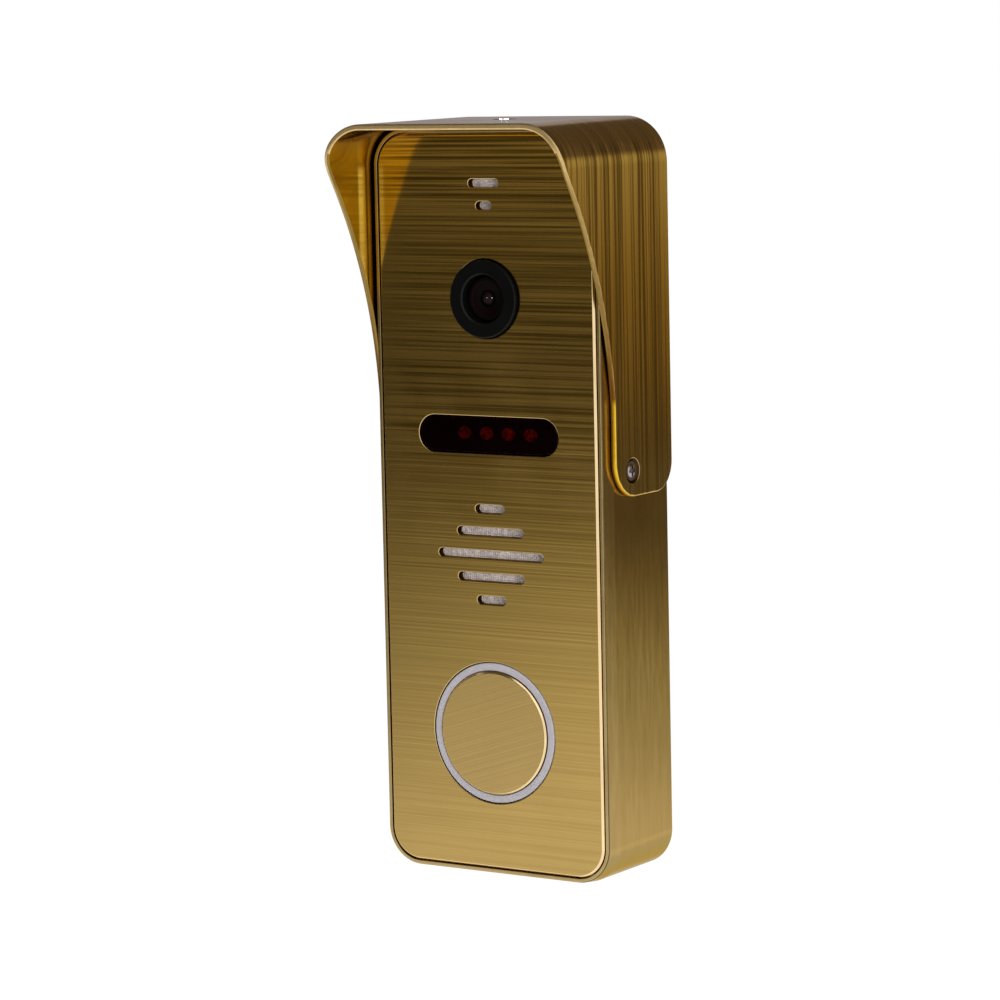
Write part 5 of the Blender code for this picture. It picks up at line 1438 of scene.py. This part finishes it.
def bracket_sheet():
    middle = (0.0, (BRACKET_TOP + BRACKET_BOTTOM) / 2)
    outline = rounded_rectangle(2 * BRACKET_HALF, BRACKET_TOP - BRACKET_BOTTOM, BRACKET_RADIUS)
    piece = lofted("bracket_sheet", [at(outline, -BRACKET_SHEET, middle), at(outline, 0.0, middle)])
    root = -BRACKET_SHEET + OVERLAP
    foot, fold, tip = TONGUE_Z - BRACKET_SHEET, BRACKET_FRONT + BRACKET_SHEET, TONGUE_Z + TONGUE_RISE
    hook = [(root, foot), (root, TONGUE_Z), (fold, TONGUE_Z)]
    hook += [(fold, tip), (BRACKET_FRONT, tip), (BRACKET_FRONT, foot)]
    bm = bmesh.new()
    tongue_pair(bm, hook)
    tab = (LOCK_TAB_HALF, root, BRACKET_BOTTOM + BRACKET_SHEET)
    box(bm, (-LOCK_TAB_HALF, BRACKET_FRONT, BRACKET_BOTTOM), tab)
    cut(piece, bm, "UNION")
    bm = bmesh.new()
    through = (-BRACKET_SHEET - OVERCUT, OVERCUT)
    upright = [(u, v) for v, u in slot_outline(*WALL_SLOT)]
    for level in WALL_SLOT_LEVELS:
        loft(bm, [at(upright, y, (0.0, level)) for y in through])
    loft(bm, [at(circle(BRACKET_CABLE_HOLE), y, (0.0, CABLE_Z)) for y in through])
    for side in SIDES:
        left, right = side * TONGUE_X - TONGUE_HALF, side * TONGUE_X + TONGUE_HALF
        low = (left, -BRACKET_SHEET - CLEARANCE, TONGUE_Z + OVERLAP)
        box(bm, low, (right, OVERCUT, TONGUE_Z + TONGUE_WINDOW))
    ends = (BRACKET_BOTTOM - OVERCUT, BRACKET_BOTTOM + BRACKET_SHEET + OVERCUT)
    screw = circle(LOCK_SCREW[1] / 2 + CLEARANCE, SCREW_STEPS)
    loft(bm, [[(u, LOCK_SCREW_Y + v, z) for u, v in screw] for z in ends])
    cut(piece, bm)
    ease_edges(piece, 0.1 * MM)
    finish(piece, "zinc_steel", ["wall_bracket"], [ZINC])


def inner_pieces():
    """Inner pieces keep their CAD shape and get a finish."""
    finishes = (
        (COVER_BLACK, ["camera_holder", "speaker_frame", "switch_body"]),
        (TUBE_BLACK, ["image_sensor"]),
        (BOARD_GREEN, ["ir_led_board", "main_board"]),
        (RUBBER, ["mic_boot", "cover_seal"]),
        (PAPER, ["speaker_cone"]),
        (WHITE_PLASTIC, ["switch_stem", "wire_connector"]),
        (WHITE_LAMP, [f"ring_led_{i + 1}" for i in range(4)]),
        (SCREW_STEEL, ["mic_capsule", "speaker_magnet"] + [f"main_board_screw_{i + 1}" for i in range(4)]),
    )
    for material, names in finishes:
        for name in names:
            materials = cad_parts[name].data.materials
            materials.clear()
            materials.append(material)


# Studio. An azimuth runs from -Y (front) towards +X


def outwards(azimuth, elevation=0.0):
    flat = math.cos(elevation)
    return Vector((math.sin(azimuth) * flat, -math.cos(azimuth) * flat, math.sin(elevation)))


def viewpoint():
    back = outwards(CAMERA_AZIMUTH, CAMERA_ELEVATION)
    level = Vector((0, 0, 1)).cross(back).normalized()
    upward = back.cross(level)
    right = level * math.cos(CAMERA_ROLL) + upward * math.sin(CAMERA_ROLL)
    top = upward * math.cos(CAMERA_ROLL) - level * math.sin(CAMERA_ROLL)
    data = bpy.data.cameras.new("viewpoint")
    data.lens = CAMERA_LENS
    data.sensor_width = CAMERA_SENSOR
    data.clip_start = 0.01
    data.clip_end = 100.0
    camera = put("viewpoint", data)
    turned = Matrix((right, top, back)).transposed()
    camera.matrix_world = Matrix.Translation(CAMERA_PLACE) @ turned.to_4x4()
    bpy.context.scene.camera = camera


def seen_directly(n):
    """1 for camera, glossy and transmission rays."""
    path = n.add("ShaderNodeLightPath").outputs
    either = n.calc("MAXIMUM", path["Is Camera Ray"], path["Is Glossy Ray"])
    return n.calc("MAXIMUM", either, path["Is Transmission Ray"])


def white_room():
    world = bpy.data.worlds.new("white_room")
    bpy.context.scene.world = world
    world.use_nodes = True
    world.node_tree.nodes.clear()
    n = Nodes(world.node_tree)
    fill = n.out("ShaderNodeBackground", {"Color": (0.96, 0.98, 1.0), "Strength": 0.7})
    white = n.out("ShaderNodeBackground", {"Color": (1.0, 1.0, 1.0), "Strength": 1.0})
    mix = n.out("ShaderNodeMixShader", {0: seen_directly(n), 1: fill, 2: white})
    n.add("ShaderNodeOutputWorld", {"Surface": mix})


def pale_floor():
    """A floor that takes the shadow, and that is clear to a view from beneath."""
    bm = bmesh.new()
    bmesh.ops.create_circle(bm, cap_ends=True, segments=TURN_STEPS, radius=FLOOR_RADIUS)
    mesh = bpy.data.meshes.new("pale_floor")
    bm.to_mesh(mesh)
    bm.free()
    mesh.transform(Matrix.Translation((0.0, 0.0, FLOOR_Z)))
    floor = put("pale_floor", mesh)
    n = new_material("pale_floor", bare=True)
    matt = n.out("ShaderNodeBsdfDiffuse", {"Color": (0.88, 0.88, 0.88)})
    white = n.out("ShaderNodeEmission", {"Color": (1.0, 1.0, 1.0), "Strength": 1.08})
    mix = n.out("ShaderNodeMixShader", {0: n.times(seen_directly(n), 0.85), 1: matt, 2: white})
    clear = n.out("ShaderNodeBsdfTransparent")
    beneath = n.add("ShaderNodeNewGeometry").outputs["Backfacing"]
    shown = n.out("ShaderNodeMixShader", {0: beneath, 1: mix, 2: clear})
    n.add("ShaderNodeOutputMaterial", {"Surface": shown})
    mesh.materials.append(n.material)


def glow_on(name, corners, levels, strength=1.0):
    """A bright face that only reflections see.

    Strength is a number, or a ramp along X (from, to, number, number).
    """
    mesh = bpy.data.meshes.new(name)
    mesh.from_pydata(corners, [], [(0, 1, 2, 3)])
    piece = put(name, mesh)
    n = new_material(name, bare=True)
    if isinstance(strength, tuple):
        strength = n.ramp(n.split(n.place())["X"], *strength)
    glow = n.out("ShaderNodeEmission", {"Color": n.by_height(levels), "Strength": strength})
    n.add("ShaderNodeOutputMaterial", {"Surface": glow})
    mesh.materials.append(n.material)
    piece.visible_camera = False
    piece.visible_diffuse = False
    piece.visible_transmission = False
    piece.visible_shadow = False


def card(name, azimuth, distance, width, levels, strength=1.0):
    """An upright card with (z, shade) levels from its foot up."""
    angle = math.radians(azimuth)
    aside = Vector((math.cos(angle), math.sin(angle), 0.0)) * (width / 2)
    low, high = levels[0][0], levels[-1][0]
    corners = []
    for side, level in ((-1, low), (1, low), (1, high), (-1, high)):
        corners.append(tuple(outwards(angle) * distance + aside * side + Vector((0.0, 0.0, level))))
    glow_on(name, corners, levels, strength)


def level_card(name, near, far, height, shade, strength=1.0):
    """A level card between two corners, in one shade."""
    (x0, y0), (x1, y1) = near, far
    corners = [(x, y, height) for x, y in ((x0, y0), (x1, y0), (x1, y1), (x0, y1))]
    glow_on(name, corners, [(height - 1.0, shade), (height + 1.0, shade)], strength)


def soft_lamp(name, azimuth, elevation, distance, size, power, glossy=True):
    outward = outwards(math.radians(azimuth), math.radians(elevation))
    data = bpy.data.lights.new(name, "AREA")
    data.shape = "RECTANGLE"
    data.size, data.size_y = size
    data.energy = power
    lamp = put(name, data)
    facing = outward.to_track_quat("Z", "Y").to_matrix().to_4x4()
    lamp.matrix_world = Matrix.Translation(outward * distance) @ facing
    lamp.visible_camera = False
    lamp.visible_glossy = glossy
    return lamp


def glints(piece, spots):
    """Small lamps for one piece alone, each an (azimuth, elevation, power)."""
    lit = bpy.data.collections.new(f"{piece.name}_alone")
    lit.objects.link(piece)
    for i, (azimuth, elevation, power) in enumerate(spots):
        lamp = soft_lamp(f"{piece.name}_glint_{i + 1}", azimuth, elevation, 1.2, (0.2, 0.2), power)
        lamp.light_linking.receiver_collection = lit


def studio():
    white_room()
    pale_floor()
    dim = (0.07, 0.06, 0.05)
    grey = (0.42, 0.405, 0.455)
    brown = (0.045, 0.03, 0.018)
    umber = (0.128, 0.095, 0.064)
    pale = (0.86, 0.92, 1.05)
    white = (1.0, 1.0, 1.0)
    card("front_left_card", -33.0, 1.5, 2.2, FRONT_LEVELS, (-0.89, -0.77, 0.74, 1.28))
    card("back_right_card", 150.0, 1.6, 2.6, SIDE_LEVELS)
    card("back_left_card", -138.0, 1.5, 1.0, [(-0.34, grey), (1.2, grey)])
    card("left_card", -98.0, 1.5, 1.5, [(-0.34, brown), (1.2, brown)])
    card("back_upper_card", 180.0, 1.9, 2.6, [(0.42, umber), (2.0, umber)])
    card("right_upper_card", 47.0, 1.5, 0.8, [(0.45, white), (1.95, white)], 1.3)
    level_card("floor_card", (-1.2, 0.12), (0.4, 1.5), FLOOR_Z + 2 * MM, pale)
    level_card("upper_front_card", (-0.1, -1.3), (1.3, -0.45), 1.9, white, 1.3)
    level_card("dim_ceiling", (-2.2, -2.2), (2.2, 2.2), 2.0, dim)
    soft_lamp("right_softbox", 57.0, 4.0, 1.5, (0.7, 1.0), 14.0, glossy=False)
    soft_lamp("top_softbox", 10.0, 72.0, 1.6, (1.2, 1.2), 12.0, glossy=False)


viewpoint()
plate_face()
housing_shell()
visor_sheet()
lens = camera_pieces()
window_pane()
button_pieces()
cloth_pieces()
visor_screws = screw_pieces()
lamp_pieces()
rear_cover()
grommet()
bracket_sheet()
inner_pieces()
studio()
glints(lens, [(-12.0, 12.0, 12.0), (62.0, 12.0, 40.0)])
glints(visor_screws, [(-147.0, 22.0, 7.0), (-147.0, 50.0, 7.0)])
bpy.context.scene.view_settings.view_transform = "Standard"

bpy.context.view_layer.update()
